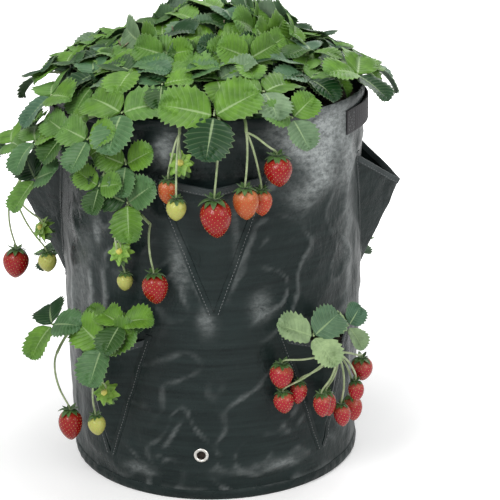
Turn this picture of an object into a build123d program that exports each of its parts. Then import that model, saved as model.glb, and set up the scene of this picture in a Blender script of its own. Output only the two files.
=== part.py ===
from build123d import *

import os
from dataclasses import dataclass, field
from math import cos, radians, sin, sqrt

# A planted strawberry grow bag: a round sack of woven plastic sheet with eight side pockets in
# two tiers, two webbing handles and drain eyelets, filled with soil and grown with strawberries.
# Millimetres. The origin is the middle of the base, +Z is up and -Y is the front. An angle is in
# degrees round the bag, from its front towards its right side.

# Bag body
BAG_HEIGHT = 440.0
TOP_RADIUS = 175.0
BASE_RADIUS = 168.0
FABRIC = 1.2
SOFT_GAP = 0.3

# Hems, binding and the upright seam
RIM_HEM_HEIGHT = 12.0
RIM_HEM_THICKNESS = 1.0
BINDING_HEIGHT = 12.0
BINDING_THICKNESS = 1.6
SEAM_ANGLE = 157.5
SEAM_WIDTH = 6.0
SEAM_THICKNESS = 1.0

# Pockets
POCKET_HEIGHT = 152.0
POCKET_HALF_ANGLE = 18.5
POCKET_FLAP = 8.0
POCKET_FLAP_THICKNESS = 1.0
POCKET_HEM_WIDTH = 8.0
POCKET_HEM_THICKNESS = 1.0
POCKET_GROWTH = 1.3
WINDOW_INSET = 10.0
UPPER_MOUTH = 366.0
LOWER_MOUTH = 189.0

# Handles
WEBBING_WIDTH = 27.0
WEBBING_THICKNESS = 1.6
HANDLE_LOW = 400.0
HANDLE_PATCH_ANGLE = 32.5
HANDLE_FREE_ANGLE = 25.5
HANDLE_PATCH_THICKNESS = 2.4
HANDLE_PIVOT_STEP = 5.0
HANDLE_SWING = 35.0

# Drain eyelets
EYELET_COUNT = 4
EYELET_FIRST_ANGLE = -6.0
EYELET_HEIGHT = 55.0
EYELET_BORE = 10.6
EYELET_BARREL_WALL = 0.6
EYELET_FLANGE = 16.0
EYELET_FLANGE_THICKNESS = 0.9
EYELET_CLEARANCE = 0.1
EYELET_STAND_OFF = 0.2
WASHER_DIAMETER = 17.0
WASHER_THICKNESS = 0.6
WASHER_SEAT = 0.4

# Soil
SOIL_EDGE = 418.0
SOIL_CROWN = 12.0
PLANTED_FILL = 8.0
SLUMPED_FILL = 78.0

# Leaves, stalks and crowns
LEAFLET_LENGTH = 50.0
LEAFLET_WIDTH = 44.0
LEAFLET_ROOT = 4.0
LEAFLET_SPREAD = 104.0
LEAF_THICKNESS = 1.6
STALK_RADIUS = 1.7
STALK_RISE = 16.0
CROWN_RADIUS = 9.0
CROWN_HEIGHT = 16.0
POCKET_CROWN_RADIUS = 4.0
PLANT_SPACING = 0.8
MIDDLE_CELL_RADIUS = 70.0
MIDDLE_CELL_SHELF = 492.0

# Fruit trusses
STEM_RADIUS = 1.4
KNUCKLE_RADIUS = 2.4
KNUCKLE_GAP = 0.4
HANG_GAP = 3.0
CALYX_HEIGHT = 4.0
CALYX_SHARE = 0.8
CALYX_SEAT = 0.1
ROSETTE_HEIGHT = 12.0
TRUSS_SWING = 20.0

UPRIGHT = (Align.CENTER, Align.CENTER, Align.MIN)
BELOW = (Align.CENTER, Align.CENTER, Align.MAX)
FAR = 600.0


@dataclass
class Pocket:
    """A pocket: where it is, how far its lip stands out and sags, and whether it is planted."""

    angle: float
    mouth: float
    reach: float
    drop: float
    planted: bool


@dataclass
class Leaf:
    """A leaf's hub, how steeply it droops outwards, and its size against the largest leaf."""

    angle: float
    radius: float
    height: float
    droop: float
    size: float


@dataclass
class Plant:
    """A plant: the place of its crown, its share of the circle, and its leaves."""

    angle: float
    radius: float
    leaves: list
    cell: tuple = ()


@dataclass
class Berry:
    """A berry: the place of its top, its size, and how far it hangs in front of the others."""

    angle: float
    top: float
    radius: float
    length: float
    layer: float = 0.0


@dataclass
class Truss:
    """A fruit stalk that hangs from a plant, with its berries and its rosette of young leaves."""

    plant: str
    angle: float
    stand_off: float
    height: float
    berries: list
    rosettes: list = field(default_factory=list)


POCKETS = {
    "upper_front": Pocket(0.0, UPPER_MOUTH + 10.0, 20.0, 5.0, False),
    "upper_right": Pocket(90.0, UPPER_MOUTH, 46.0, 45.0, False),
    "upper_back": Pocket(180.0, UPPER_MOUTH, 30.0, 18.0, False),
    "upper_left": Pocket(-90.0, UPPER_MOUTH, 46.0, 45.0, True),
    "lower_front_left": Pocket(-45.0, LOWER_MOUTH, 34.0, 22.0, True),
    "lower_front_right": Pocket(45.0, LOWER_MOUTH, 28.0, 16.0, True),
    "lower_back_right": Pocket(135.0, LOWER_MOUTH, 34.0, 22.0, True),
    "lower_back_left": Pocket(-135.0, LOWER_MOUTH, 34.0, 22.0, True),
}

TOP_PLANTS = {
    "plant_top_middle": Plant(0.0, 0.0, [
        Leaf(10.0, 56.0, 500.0, 14.0, 0.85), Leaf(85.0, 60.0, 502.0, 16.0, 0.85),
        Leaf(160.0, 62.0, 506.0, 14.0, 0.95), Leaf(232.0, 60.0, 504.0, 14.0, 0.9),
        Leaf(300.0, 58.0, 500.0, 16.0, 0.85), Leaf(120.0, 20.0, 519.0, 6.0, 0.8),
        Leaf(-40.0, 22.0, 514.0, 8.0, 0.75),
    ]),
    "plant_top_left": Plant(-76.0, 110.0, [
        Leaf(-67.0, 187.0, 446.0, 35.0, 0.85), Leaf(-58.0, 146.0, 470.0, 18.0, 0.75),
        Leaf(-86.0, 160.0, 466.0, 18.0, 0.75), Leaf(-97.0, 186.0, 450.0, 28.0, 0.85),
        Leaf(-76.0, 122.0, 482.0, 5.0, 0.65),
    ], (-106.0, -48.0)),
    "plant_top_front_left": Plant(-31.0, 118.0, [
        Leaf(-29.0, 188.0, 448.0, 38.0, 0.95), Leaf(-36.0, 138.0, 480.0, 10.0, 0.8),
        Leaf(-19.0, 150.0, 472.0, 20.0, 0.65),
    ], (-48.0, -14.0)),
    "plant_top_front": Plant(6.0, 112.0, [
        Leaf(1.4, 190.0, 450.0, 42.0, 1.0), Leaf(20.0, 168.0, 466.0, 15.0, 0.85),
        Leaf(24.0, 192.0, 438.0, 55.0, 0.7), Leaf(4.0, 134.0, 474.0, 15.0, 0.7),
        Leaf(20.0, 116.0, 484.0, 2.0, 0.65),
    ], (-14.0, 34.0)),
    "plant_top_right": Plant(66.0, 110.0, [
        Leaf(59.0, 187.0, 468.0, 25.0, 0.85), Leaf(46.0, 150.0, 466.0, 15.0, 0.75),
        Leaf(77.0, 162.0, 464.0, 20.0, 0.8), Leaf(92.0, 184.0, 454.0, 26.0, 0.8),
        Leaf(66.0, 124.0, 484.0, 5.0, 0.65),
    ], (34.0, 104.0)),
    "plant_top_back_right": Plant(131.0, 112.0, [
        Leaf(113.0, 178.0, 458.0, 25.0, 0.8), Leaf(130.0, 184.0, 454.0, 28.0, 0.85),
        Leaf(148.0, 174.0, 462.0, 20.0, 0.85), Leaf(136.0, 134.0, 482.0, 8.0, 0.75),
        Leaf(118.0, 126.0, 480.0, 8.0, 0.65),
    ], (104.0, 160.0)),
    "plant_top_back": Plant(184.0, 112.0, [
        Leaf(171.0, 180.0, 458.0, 25.0, 0.8), Leaf(187.0, 186.0, 452.0, 30.0, 0.85),
        Leaf(201.0, 170.0, 464.0, 18.0, 0.8), Leaf(184.0, 134.0, 484.0, 8.0, 0.75),
    ], (160.0, 208.0)),
    "plant_top_back_left": Plant(231.0, 112.0, [
        Leaf(219.0, 178.0, 460.0, 22.0, 0.8), Leaf(234.0, 186.0, 452.0, 28.0, 0.85),
        Leaf(246.0, 164.0, 466.0, 18.0, 0.75), Leaf(230.0, 130.0, 482.0, 8.0, 0.75),
    ], (208.0, 254.0)),
}

TRAILING_LEAVES = [
    Leaf(-41.0, 196.0, 398.0, 55.0, 0.6), Leaf(-26.5, 198.0, 396.0, 62.0, 0.6),
    Leaf(-25.5, 204.0, 356.0, 68.0, 0.75),
]

POCKET_PLANTS = {
    "plant_upper_left": Plant(-90.0, 12.0, [
        Leaf(-59.0, 222.0, 364.0, 45.0, 0.8), Leaf(-62.0, 214.0, 402.0, 30.0, 0.75),
        Leaf(-80.0, 226.0, 384.0, 35.0, 0.8), Leaf(-100.0, 224.0, 378.0, 35.0, 0.8),
    ]),
    "plant_lower_front_left": Plant(-45.0, 11.0, [
        Leaf(-33.0, 222.0, 196.0, 55.0, 0.85), Leaf(-52.0, 226.0, 204.0, 35.0, 0.8),
        Leaf(-28.0, 214.0, 222.0, 30.0, 0.65),
    ]),
    "plant_lower_front_right": Plant(45.0, 10.0, [
        Leaf(30.0, 214.0, 202.0, 40.0, 0.75), Leaf(53.0, 214.0, 200.0, 40.0, 0.65),
    ]),
    "plant_lower_back_right": Plant(135.0, 11.0, [
        Leaf(124.0, 222.0, 204.0, 40.0, 0.8), Leaf(146.0, 222.0, 204.0, 40.0, 0.8),
        Leaf(135.0, 214.0, 224.0, 22.0, 0.7),
    ]),
    "plant_lower_back_left": Plant(-135.0, 11.0, [
        Leaf(-124.0, 222.0, 204.0, 40.0, 0.8), Leaf(-147.0, 222.0, 206.0, 40.0, 0.8),
        Leaf(-136.0, 214.0, 226.0, 22.0, 0.7),
    ]),
}

TRUSSES = {
    "left": Truss("plant_upper_left", -76.0, 52.0, 336.0, [
        Berry(-84.0, 252.0, 15.0, 36.0, 28.0), Berry(-70.5, 262.0, 11.0, 23.0, 12.0),
    ], [Berry(-68.0, 294.0, 15.0, ROSETTE_HEIGHT, 12.0)]),
    "front_left_young": Truss("plant_top_front_left", -32.0, 18.0, 330.0, [
        Berry(-31.0, 268.0, 9.0, 20.0),
    ], [Berry(-31.0, 294.0, 14.0, ROSETTE_HEIGHT)]),
    "front_left_ripe": Truss("plant_top_front_left", -20.0, 16.0, 330.0, [
        Berry(-19.5, 274.0, 14.0, 35.0),
    ]),
    "front_young": Truss("plant_top_front", -9.5, 14.0, 430.0, [
        Berry(-9.5, 368.0, 11.0, 23.0, 16.0), Berry(-13.0, 382.0, 10.0, 25.0),
    ], [Berry(-9.0, 400.0, 15.0, ROSETTE_HEIGHT, 4.0)]),
    "front_ripe": Truss("plant_top_front", 3.0, 14.0, 430.0, [
        Berry(0.8, 368.0, 17.5, 42.0, 8.0),
    ]),
    "front_right": Truss("plant_top_front", 11.5, 14.0, 430.0, [
        Berry(9.5, 376.0, 13.5, 34.0, 8.0), Berry(15.5, 368.0, 11.0, 28.0, 2.0),
        Berry(20.0, 404.0, 16.0, 32.0, 6.0),
    ]),
    "lower_left_ripe": Truss("plant_lower_front_left", -52.5, 50.0, 168.0, [
        Berry(-54.0, 92.0, 14.5, 37.0, 14.0),
    ]),
    "lower_left_young": Truss("plant_lower_front_left", -35.0, 46.0, 172.0, [
        Berry(-40.0, 102.0, 10.5, 23.0, 10.0),
    ], [Berry(-35.0, 134.0, 15.0, ROSETTE_HEIGHT, 8.0)]),
    "lower_right": Truss("plant_lower_front_right", 37.0, 48.0, 178.0, [
        Berry(23.0, 164.0, 13.5, 28.0), Berry(23.5, 129.0, 11.5, 25.0),
        Berry(30.0, 137.0, 10.0, 26.0), Berry(34.0, 127.0, 10.0, 27.0, 18.0),
        Berry(38.5, 121.0, 10.5, 28.0), Berry(43.0, 104.0, 10.0, 27.0, 12.0),
        Berry(51.0, 152.0, 13.0, 28.0, 4.0), Berry(46.0, 132.0, 9.5, 24.0, 16.0),
        Berry(51.5, 101.0, 11.0, 30.0, 4.0),
    ]),
}


def polar(radius, angle, height):
    """Point at a distance from the bag's axis, an angle round it and a height."""
    turn = radians(angle)
    return Vector(radius * sin(turn), -radius * cos(turn), height)


def outward(angle):
    """Level direction away from the bag's axis."""
    return polar(1.0, angle, 0.0)


def sideways(angle):
    """Level direction along the wall, towards larger angles."""
    return polar(1.0, angle + 90.0, 0.0)


def wall_radius(height):
    """Outer radius of the bag at a height."""
    return BASE_RADIUS + (TOP_RADIUS - BASE_RADIUS) * height / BAG_HEIGHT


def bag_cone(offset, low=0.0, high=BAG_HEIGHT):
    """Solid inside the bag's outline between two heights, its side moved out by an offset."""
    cone = Cone(wall_radius(low) + offset, wall_radius(high) + offset, high - low, align=UPRIGHT)
    return Pos(0, 0, low) * cone


def band(inner, outer, low, high):
    """Ring round the bag between two offsets from its outline and two heights."""
    return bag_cone(outer, low, high) - bag_cone(inner, low, high)


def facing(angle, radius=0.0, height=0.0):
    """Plane that looks outwards at an angle, with X along the wall and Y upwards."""
    return Plane(origin=polar(radius, angle, height), x_dir=sideways(angle), z_dir=outward(angle))


def sector(first, last, gap):
    """Upright wedge between two angles, moved out so that its sides leave half a gap each."""
    middle = (first + last) / 2
    shift = gap / 2 / sin(radians((last - first) / 2))
    outline = [(0, 0)] + [tuple(polar(FAR, a, 0))[:2] for a in (first, middle, last)]
    wedge = extrude(make_face(Polyline(*outline, close=True)), FAR)
    return Location(outward(middle) * shift) * wedge


def rod(start, end, radius):
    """Round bar from one point to another."""
    run = end - start
    return Plane(origin=start, z_dir=run) * Cylinder(radius, run.length, align=UPRIGHT)


def stalk(points, radius):
    """Round bar along points, with a ball at each bend."""
    shape = rod(points[0], points[1], radius)
    for start, end in zip(points[1:-1], points[2:]):
        shape += Location(start) * Sphere(radius)
        shape += rod(start, end, radius)
    return shape


def merged(shapes):
    """One shape made of several that touch."""
    whole = shapes[0]
    for shape in shapes[1:]:
        whole += shape
    return whole


def save(shape, node):
    """Write one piece, or a group of like pieces, under its own name."""
    solids = shape.solids()
    piece = solids[0] if len(solids) == 1 else Compound(children=list(solids))
    export_step(piece, f"parts/{node}.step")


# Bag body

def bag_wall():
    """The sack's wall, with a window behind each pocket and a hole for each eyelet."""
    wall = band(-FABRIC, 0.0, 0.0, BAG_HEIGHT)
    for pocket in POCKETS.values():
        opening = offset(pocket_outline(pocket), -WINDOW_INSET, kind=Kind.INTERSECTION)
        wall -= facing(pocket.angle) * extrude(opening, FAR)
    barrel = EYELET_BORE / 2 + EYELET_BARREL_WALL
    for angle in eyelet_angles():
        wall -= facing(angle, 0.0, EYELET_HEIGHT) * Cylinder(
            barrel + EYELET_CLEARANCE, FAR, align=UPRIGHT)
    return wall


def bottom_panel():
    """The round sheet that closes the sack."""
    return Cylinder(BASE_RADIUS - FABRIC, FABRIC, align=UPRIGHT)


def side_seam_tape():
    """The upright tape over the joint in the wall, from the binding to the rim hem."""
    strip = facing(SEAM_ANGLE) * (Pos(0, BAG_HEIGHT / 2) * Box(
        SEAM_WIDTH, BAG_HEIGHT - BINDING_HEIGHT - RIM_HEM_HEIGHT, FAR,
        align=(Align.CENTER, Align.CENTER, Align.MIN)))
    return band(0.0, SEAM_THICKNESS, BINDING_HEIGHT, BAG_HEIGHT - RIM_HEM_HEIGHT) & strip


# Pockets

def pocket_outline(pocket):
    """The pocket's seam on the wall, as a face seen from outside."""
    half = wall_radius(pocket.mouth) * sin(radians(POCKET_HALF_ANGLE))
    foot = pocket.mouth - POCKET_HEIGHT
    corners = [(-half, pocket.mouth), (half, pocket.mouth), (0, foot)]
    return make_face(Polyline(*corners, close=True))


def pocket_points(pocket):
    """The mouth's left and right corners, the lip's tip, and the foot of the crease."""
    left, right = (
        polar(wall_radius(pocket.mouth), pocket.angle + side * POCKET_HALF_ANGLE, pocket.mouth)
        for side in (-1, 1))
    tip_height = pocket.mouth - pocket.drop
    tip = polar(wall_radius(tip_height) + pocket.reach, pocket.angle, tip_height)
    foot_height = pocket.mouth - POCKET_HEIGHT
    foot = polar(wall_radius(foot_height), pocket.angle, foot_height)
    return left, right, tip, foot


def pocket_wedge(pocket, inset=0.0, growth=1.0):
    """Solid behind the pocket's two faces, moved in by an inset and grown from its foot."""
    left, right, tip, foot = pocket_points(pocket)
    normal = (tip - foot).cross(left - foot).normalized()
    shift = outward(pocket.angle) * (inset / abs(normal.dot(outward(pocket.angle))))
    base = foot - shift
    left, right, tip = (base + (corner - foot) * growth for corner in (left, right, tip))
    sides = [(left, right, tip), (left, tip, base), (tip, right, base), (right, left, base)]
    return Solid(Shell([Face(Wire.make_polygon(side)) for side in sides]))


def pocket_shell(pocket):
    """The pocket's fabric: two faces that meet at a crease, and the flap sewn to the wall."""
    foot = pocket.mouth - POCKET_HEIGHT
    flap = offset(pocket_outline(pocket), POCKET_FLAP, kind=Kind.ARC)
    flap_band = band(0.0, POCKET_FLAP_THICKNESS, foot - 2 * POCKET_FLAP, pocket.mouth + POCKET_FLAP)
    flap_band &= facing(pocket.angle) * extrude(flap, FAR)
    shell = pocket_wedge(pocket) + flap_band
    shell -= pocket_wedge(pocket, FABRIC, POCKET_GROWTH)
    return shell - bag_cone(0.0)


def pocket_hem(pocket):
    """The binding folded over the outside of the pocket's mouth."""
    left, right, tip, _ = pocket_points(pocket)
    mouth_normal = (right - left).cross(tip - left).normalized()
    if mouth_normal.Z < 0:
        mouth_normal = -mouth_normal
    mouth = Plane(origin=tip, x_dir=sideways(pocket.angle), z_dir=mouth_normal)
    strip = mouth * Box(FAR, FAR, POCKET_HEM_WIDTH, align=BELOW)
    hem = (pocket_wedge(pocket, -POCKET_HEM_THICKNESS) & strip)
    hem -= pocket_wedge(pocket, 0.0, POCKET_GROWTH)
    return hem - bag_cone(POCKET_FLAP_THICKNESS)


def pocket_fill(pocket):
    """Height of the soil inside a pocket."""
    if pocket.planted:
        return pocket.mouth - pocket.drop - PLANTED_FILL
    return pocket.mouth - POCKET_HEIGHT + SLUMPED_FILL


def pocket_soil(pocket):
    """The soil that has run into a pocket through its window."""
    soil = pocket_wedge(pocket, FABRIC + SOFT_GAP, POCKET_GROWTH) - bag_cone(SOFT_GAP)
    return soil & Pos(0, 0, pocket_fill(pocket)) * Box(2 * FAR, 2 * FAR, FAR, align=BELOW)


def stand_off(angle, height):
    """How far the nearest pocket stands out of the wall at an angle and a height."""
    most = 0.0
    for pocket in POCKETS.values():
        foot = pocket.mouth - POCKET_HEIGHT
        aside = abs((angle - pocket.angle + 180.0) % 360.0 - 180.0)
        rise = (height - foot) / (pocket.mouth - pocket.drop - foot)
        half = POCKET_HALF_ANGLE * (height - foot) / POCKET_HEIGHT
        if foot < height < pocket.mouth and aside < half:
            most = max(most, pocket.reach * min(rise, 1.0) * (1.0 - aside / half))
    return most


# Handles

def handle_ends():
    """Half the free loop's length along the wall, and where its ends lie from the axis."""
    radius = wall_radius(HANDLE_LOW + WEBBING_WIDTH) + SOFT_GAP
    half = radius * sin(radians(HANDLE_FREE_ANGLE))
    return half, sqrt(radius ** 2 - half ** 2)


def handle_pivot(angle):
    """Middle of the line that the loop swings about."""
    return polar(handle_ends()[1] + HANDLE_PIVOT_STEP, angle, HANDLE_LOW + WEBBING_WIDTH)


def handle_loop(angle):
    """The free webbing, bowed out so that it clears the rim when it is lifted."""
    half, seat = handle_ends()
    radius = wall_radius(HANDLE_LOW + WEBBING_WIDTH) + SOFT_GAP
    rise = radius - seat + RIM_HEM_THICKNESS + SOFT_GAP - HANDLE_PIVOT_STEP
    bow = HANDLE_PIVOT_STEP + rise / cos(radians(HANDLE_SWING))
    curve = (bow ** 2 + half ** 2) / (2 * bow)
    ring = Cylinder(curve + WEBBING_THICKNESS, WEBBING_WIDTH, align=UPRIGHT)
    ring -= Cylinder(curve, WEBBING_WIDTH, align=UPRIGHT)
    centre = polar(seat + bow - curve, angle, HANDLE_LOW)
    cut = Plane(origin=(0, 0, HANDLE_LOW), x_dir=sideways(angle), z_dir=outward(angle)) * Box(
        2 * (half - SOFT_GAP), 4 * WEBBING_WIDTH, FAR, align=UPRIGHT)
    return Location(centre) * ring & cut


def handle_patches(angle):
    """The two stitched ends of one handle."""
    half = handle_ends()[0]
    outer = wall_radius(HANDLE_LOW) * sin(radians(HANDLE_PATCH_ANGLE))
    ring = band(0.0, HANDLE_PATCH_THICKNESS, HANDLE_LOW, HANDLE_LOW + WEBBING_WIDTH)
    cut = Box(outer - half, 4 * WEBBING_WIDTH, FAR, align=(Align.MIN, Align.CENTER, Align.MIN))
    plane = Plane(origin=(0, 0, HANDLE_LOW), x_dir=sideways(angle), z_dir=outward(angle))
    return [ring & plane * (Pos(start, 0) * cut) for start in (half, -outer)]


# Drain eyelets

def eyelet_angles():
    """Angles of the eyelets round the base."""
    return [EYELET_FIRST_ANGLE + k * 360.0 / EYELET_COUNT for k in range(EYELET_COUNT)]


def eyelet(angle):
    """A flanged metal barrel, pushed through the wall from outside."""
    radius = EYELET_BORE / 2 + EYELET_BARREL_WALL
    depth = EYELET_STAND_OFF + FABRIC + WASHER_SEAT + 2 * WASHER_THICKNESS
    shape = Cylinder(EYELET_FLANGE / 2, EYELET_FLANGE_THICKNESS, align=UPRIGHT)
    shape += Cylinder(radius, depth, align=BELOW)
    shape -= Cylinder(EYELET_BORE / 2, 4 * depth)
    return facing(angle, wall_radius(EYELET_HEIGHT) + EYELET_STAND_OFF, EYELET_HEIGHT) * shape


def eyelet_washer(angle):
    """The ring that the eyelet is rolled over, inside the wall."""
    radius = EYELET_BORE / 2 + EYELET_BARREL_WALL + EYELET_CLEARANCE
    shape = Cylinder(WASHER_DIAMETER / 2, WASHER_THICKNESS, align=BELOW)
    shape -= Cylinder(radius, 4 * WASHER_THICKNESS)
    seat = wall_radius(EYELET_HEIGHT) - FABRIC - WASHER_SEAT
    return facing(angle, seat, EYELET_HEIGHT) * shape


# Soil

def soil_dome():
    """Radius of the sphere that rounds the top of the soil."""
    edge = wall_radius(SOIL_EDGE) - FABRIC - SOFT_GAP
    return (edge ** 2 + SOIL_CROWN ** 2) / (2 * SOIL_CROWN)


def soil_height(radius):
    """Height of the soil's top at a distance from the bag's axis."""
    dome = soil_dome()
    return SOIL_EDGE + SOIL_CROWN - dome + sqrt(dome ** 2 - radius ** 2)


def soil_core():
    """The soil that fills the sack, hollowed where the eyelets' washers press into it."""
    dome = soil_dome()
    soil = bag_cone(-FABRIC - SOFT_GAP, FABRIC, SOIL_EDGE + SOIL_CROWN)
    soil &= Pos(0, 0, SOIL_EDGE + SOIL_CROWN - dome) * Sphere(dome)
    seat = wall_radius(EYELET_HEIGHT) - FABRIC
    depth = WASHER_SEAT + 4 * WASHER_THICKNESS
    for angle in eyelet_angles():
        soil -= facing(angle, seat, EYELET_HEIGHT) * Cylinder(
            WASHER_DIAMETER / 2 + SOFT_GAP, 2 * depth)
    return soil


# Plants

def leaf_hub(leaf):
    """The point where a leaf's three leaflets meet."""
    return polar(leaf.radius, leaf.angle, leaf.height)


def leaf_blade(leaf):
    """Three leaflets round a hub, on a plane that droops outwards."""
    droop = radians(leaf.droop)
    along = outward(leaf.angle) * cos(droop) - Vector(0, 0, sin(droop))
    normal = outward(leaf.angle) * sin(droop) + Vector(0, 0, cos(droop))
    length = LEAFLET_LENGTH * leaf.size
    leaflet = Pos(length / 2 - LEAFLET_ROOT, 0) * Ellipse(length / 2, LEAFLET_WIDTH * leaf.size / 2)
    blade = merged([Rot(0, 0, turn) * leaflet for turn in (-LEAFLET_SPREAD, 0, LEAFLET_SPREAD)])
    plane = Plane(origin=leaf_hub(leaf), x_dir=along, z_dir=normal)
    return plane * extrude(blade, LEAF_THICKNESS)


def leaf_with_stalk(leaf, root):
    """A leaf and the arched stalk that joins it to its crown."""
    hub = leaf_hub(leaf)
    knee = root + (hub - root) * 0.55 + Vector(0, 0, STALK_RISE)
    return merged([stalk([root, knee, hub], STALK_RADIUS), leaf_blade(leaf)])


def truss_pivot(truss):
    """The knuckle that a fruit stalk hangs from."""
    return polar(wall_radius(truss.height) + truss.stand_off, truss.angle, truss.height)


def arms_to_trusses(plant_name, root, over):
    """The fixed stalks that carry a plant's fruit trusses, each ending in a knuckle."""
    arms = []
    for truss in TRUSSES.values():
        if truss.plant == plant_name:
            pivot = truss_pivot(truss)
            way = [root] + over(truss) + [pivot]
            arms.append(stalk(way, STEM_RADIUS) + Location(pivot) * Sphere(KNUCKLE_RADIUS))
    return arms


def over_rim(truss):
    """Points that take a fruit stalk up over the rim of the bag."""
    inner = polar(wall_radius(BAG_HEIGHT) - 14.0, truss.angle, BAG_HEIGHT + 8.0)
    crest = polar(wall_radius(BAG_HEIGHT) + 8.0, truss.angle, BAG_HEIGHT + 10.0)
    return [inner, crest]


def over_lip(truss):
    """One point that takes a fruit stalk up over a pocket's lip."""
    return [polar(wall_radius(truss.height) + truss.stand_off / 2, truss.angle, truss.height + 42.0)]


def top_plant(name):
    """A plant in the soil at the top, kept inside its own share of the circle."""
    plant = TOP_PLANTS[name]
    base = soil_height(plant.radius - CROWN_RADIUS) + CALYX_SEAT
    if plant.radius == 0.0:
        base = soil_height(0.0) + CALYX_SEAT
    crown = Location(polar(plant.radius, plant.angle, base)) * Cylinder(
        CROWN_RADIUS, CROWN_HEIGHT, align=UPRIGHT)
    root = polar(plant.radius, plant.angle, base + CROWN_HEIGHT - STALK_RADIUS)
    pieces = [crown] + [leaf_with_stalk(leaf, root) for leaf in plant.leaves]
    trailing = name == "plant_top_front_left"
    if not trailing:
        pieces += arms_to_trusses(name, root, over_rim)
    shape = merged(pieces)
    column = Pos(0, 0, BASE_RADIUS) * Cylinder(MIDDLE_CELL_RADIUS, FAR, align=UPRIGHT)
    shelf = Pos(0, 0, MIDDLE_CELL_SHELF) * Box(2 * FAR, 2 * FAR, FAR, align=UPRIGHT)
    if plant.cell:
        ring_column = Cylinder(MIDDLE_CELL_RADIUS + PLANT_SPACING, 2 * FAR, align=UPRIGHT)
        ring_shelf = Pos(0, 0, MIDDLE_CELL_SHELF - PLANT_SPACING) * Box(
            2 * FAR, 2 * FAR, FAR, align=UPRIGHT)
        shape = (shape & sector(*plant.cell, PLANT_SPACING)) - ring_column - ring_shelf
    else:
        shape = (shape & column) + (shape & shelf)
    if trailing:
        shape += merged(trailing_shoot(root))
    return shape


def trailing_shoot(root):
    """The shoot that grows over the rim and hangs down the wall, with its leaves and arms."""
    angle = -31.0
    way = [root, polar(160.0, angle, 452.0), polar(190.0, angle, 450.0), polar(194.0, angle, 400.0),
           polar(190.0, -27.0, 352.0)]
    pieces = [stalk(way, STALK_RADIUS)]
    for leaf, joint in zip(TRAILING_LEAVES, (way[3], way[3], way[4])):
        pieces += [stalk([joint, leaf_hub(leaf)], STALK_RADIUS), leaf_blade(leaf)]
    for truss in TRUSSES.values():
        if truss.plant == "plant_top_front_left":
            pivot = truss_pivot(truss)
            pieces.append(stalk([way[4], pivot], STEM_RADIUS))
            pieces.append(Location(pivot) * Sphere(KNUCKLE_RADIUS))
    return pieces


def pocket_plant(name):
    """A plant that grows out of a pocket's soil."""
    plant = POCKET_PLANTS[name]
    pocket = POCKETS[name.removeprefix("plant_")]
    base = pocket_fill(pocket) + CALYX_SEAT
    place = polar(wall_radius(base) + plant.radius, plant.angle, base)
    crown = Location(place) * Cylinder(POCKET_CROWN_RADIUS, CROWN_HEIGHT, align=UPRIGHT)
    root = place + Vector(0, 0, CROWN_HEIGHT - STALK_RADIUS)
    neck = polar(wall_radius(base) + plant.radius, plant.angle, pocket.mouth + 6.0)
    pieces = [crown, rod(root, neck, 2 * STALK_RADIUS)]
    pieces += [leaf_with_stalk(leaf, neck) for leaf in plant.leaves]
    return merged(pieces + arms_to_trusses(name, neck, over_lip))


# Fruit trusses

def hang_point(item):
    """Where the top of a berry or rosette hangs, clear of the wall and of any pocket there."""
    lowest = item.top - item.length
    steps = [item.top - item.length * k / 4 for k in range(5)]
    stand = max(stand_off(item.angle + aside, height) for height in steps for aside in (-4, 0, 4))
    radius = wall_radius(max(item.top, lowest)) + stand + item.radius + HANG_GAP + item.layer
    return polar(radius, item.angle, item.top)


def berry_solid(item):
    """A strawberry: round shoulders and a long taper to its tip."""
    tip = (0, -item.length)
    shoulder = (0.72 * item.radius, -0.09 * item.length)
    belly = (item.radius, -0.36 * item.length)
    taper = (0.64 * item.radius, -0.78 * item.length)
    side = Spline((0, 0), shoulder, belly, taper, tip, tangents=((1, 0), (-0.5, -1)))
    solid = revolve(Plane.XZ * make_face([side, Line(tip, (0, 0))]), Axis.Z)
    return Location(hang_point(item)) * solid


def truss_stems(truss):
    """The hanging stalks of a truss, with the leafy cap on each berry."""
    pivot = truss_pivot(truss)
    pieces = []
    reach = KNUCKLE_RADIUS + KNUCKLE_GAP
    for item in truss.rosettes + truss.berries:
        top = hang_point(item)
        is_berry = item in truss.berries
        seat = top + Vector(0, 0, CALYX_SEAT if is_berry else 0.0)
        if is_berry:
            cap = Cone(item.radius * CALYX_SHARE, STEM_RADIUS, CALYX_HEIGHT, align=UPRIGHT)
            pieces.append(Location(seat) * cap)
        else:
            cap = Cone(STEM_RADIUS, item.radius, item.length / 2, align=BELOW)
            pieces.append(Location(top) * (Rot(180, 0, 0) * cap))
        end = seat + Vector(0, 0, CALYX_HEIGHT / 2)
        pieces.append(rod(pivot + (end - pivot).normalized() * reach, end, STEM_RADIUS))
    ring = Location(pivot - Vector(0, 0, reach)) * Sphere(STEM_RADIUS)
    stems = merged(pieces + [ring])
    return stems - Location(pivot) * Sphere(reach)


def truss_berries(truss):
    """The berries of a truss, each a solid of its own."""
    return Compound(children=[berry_solid(item).solid() for item in truss.berries])


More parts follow.
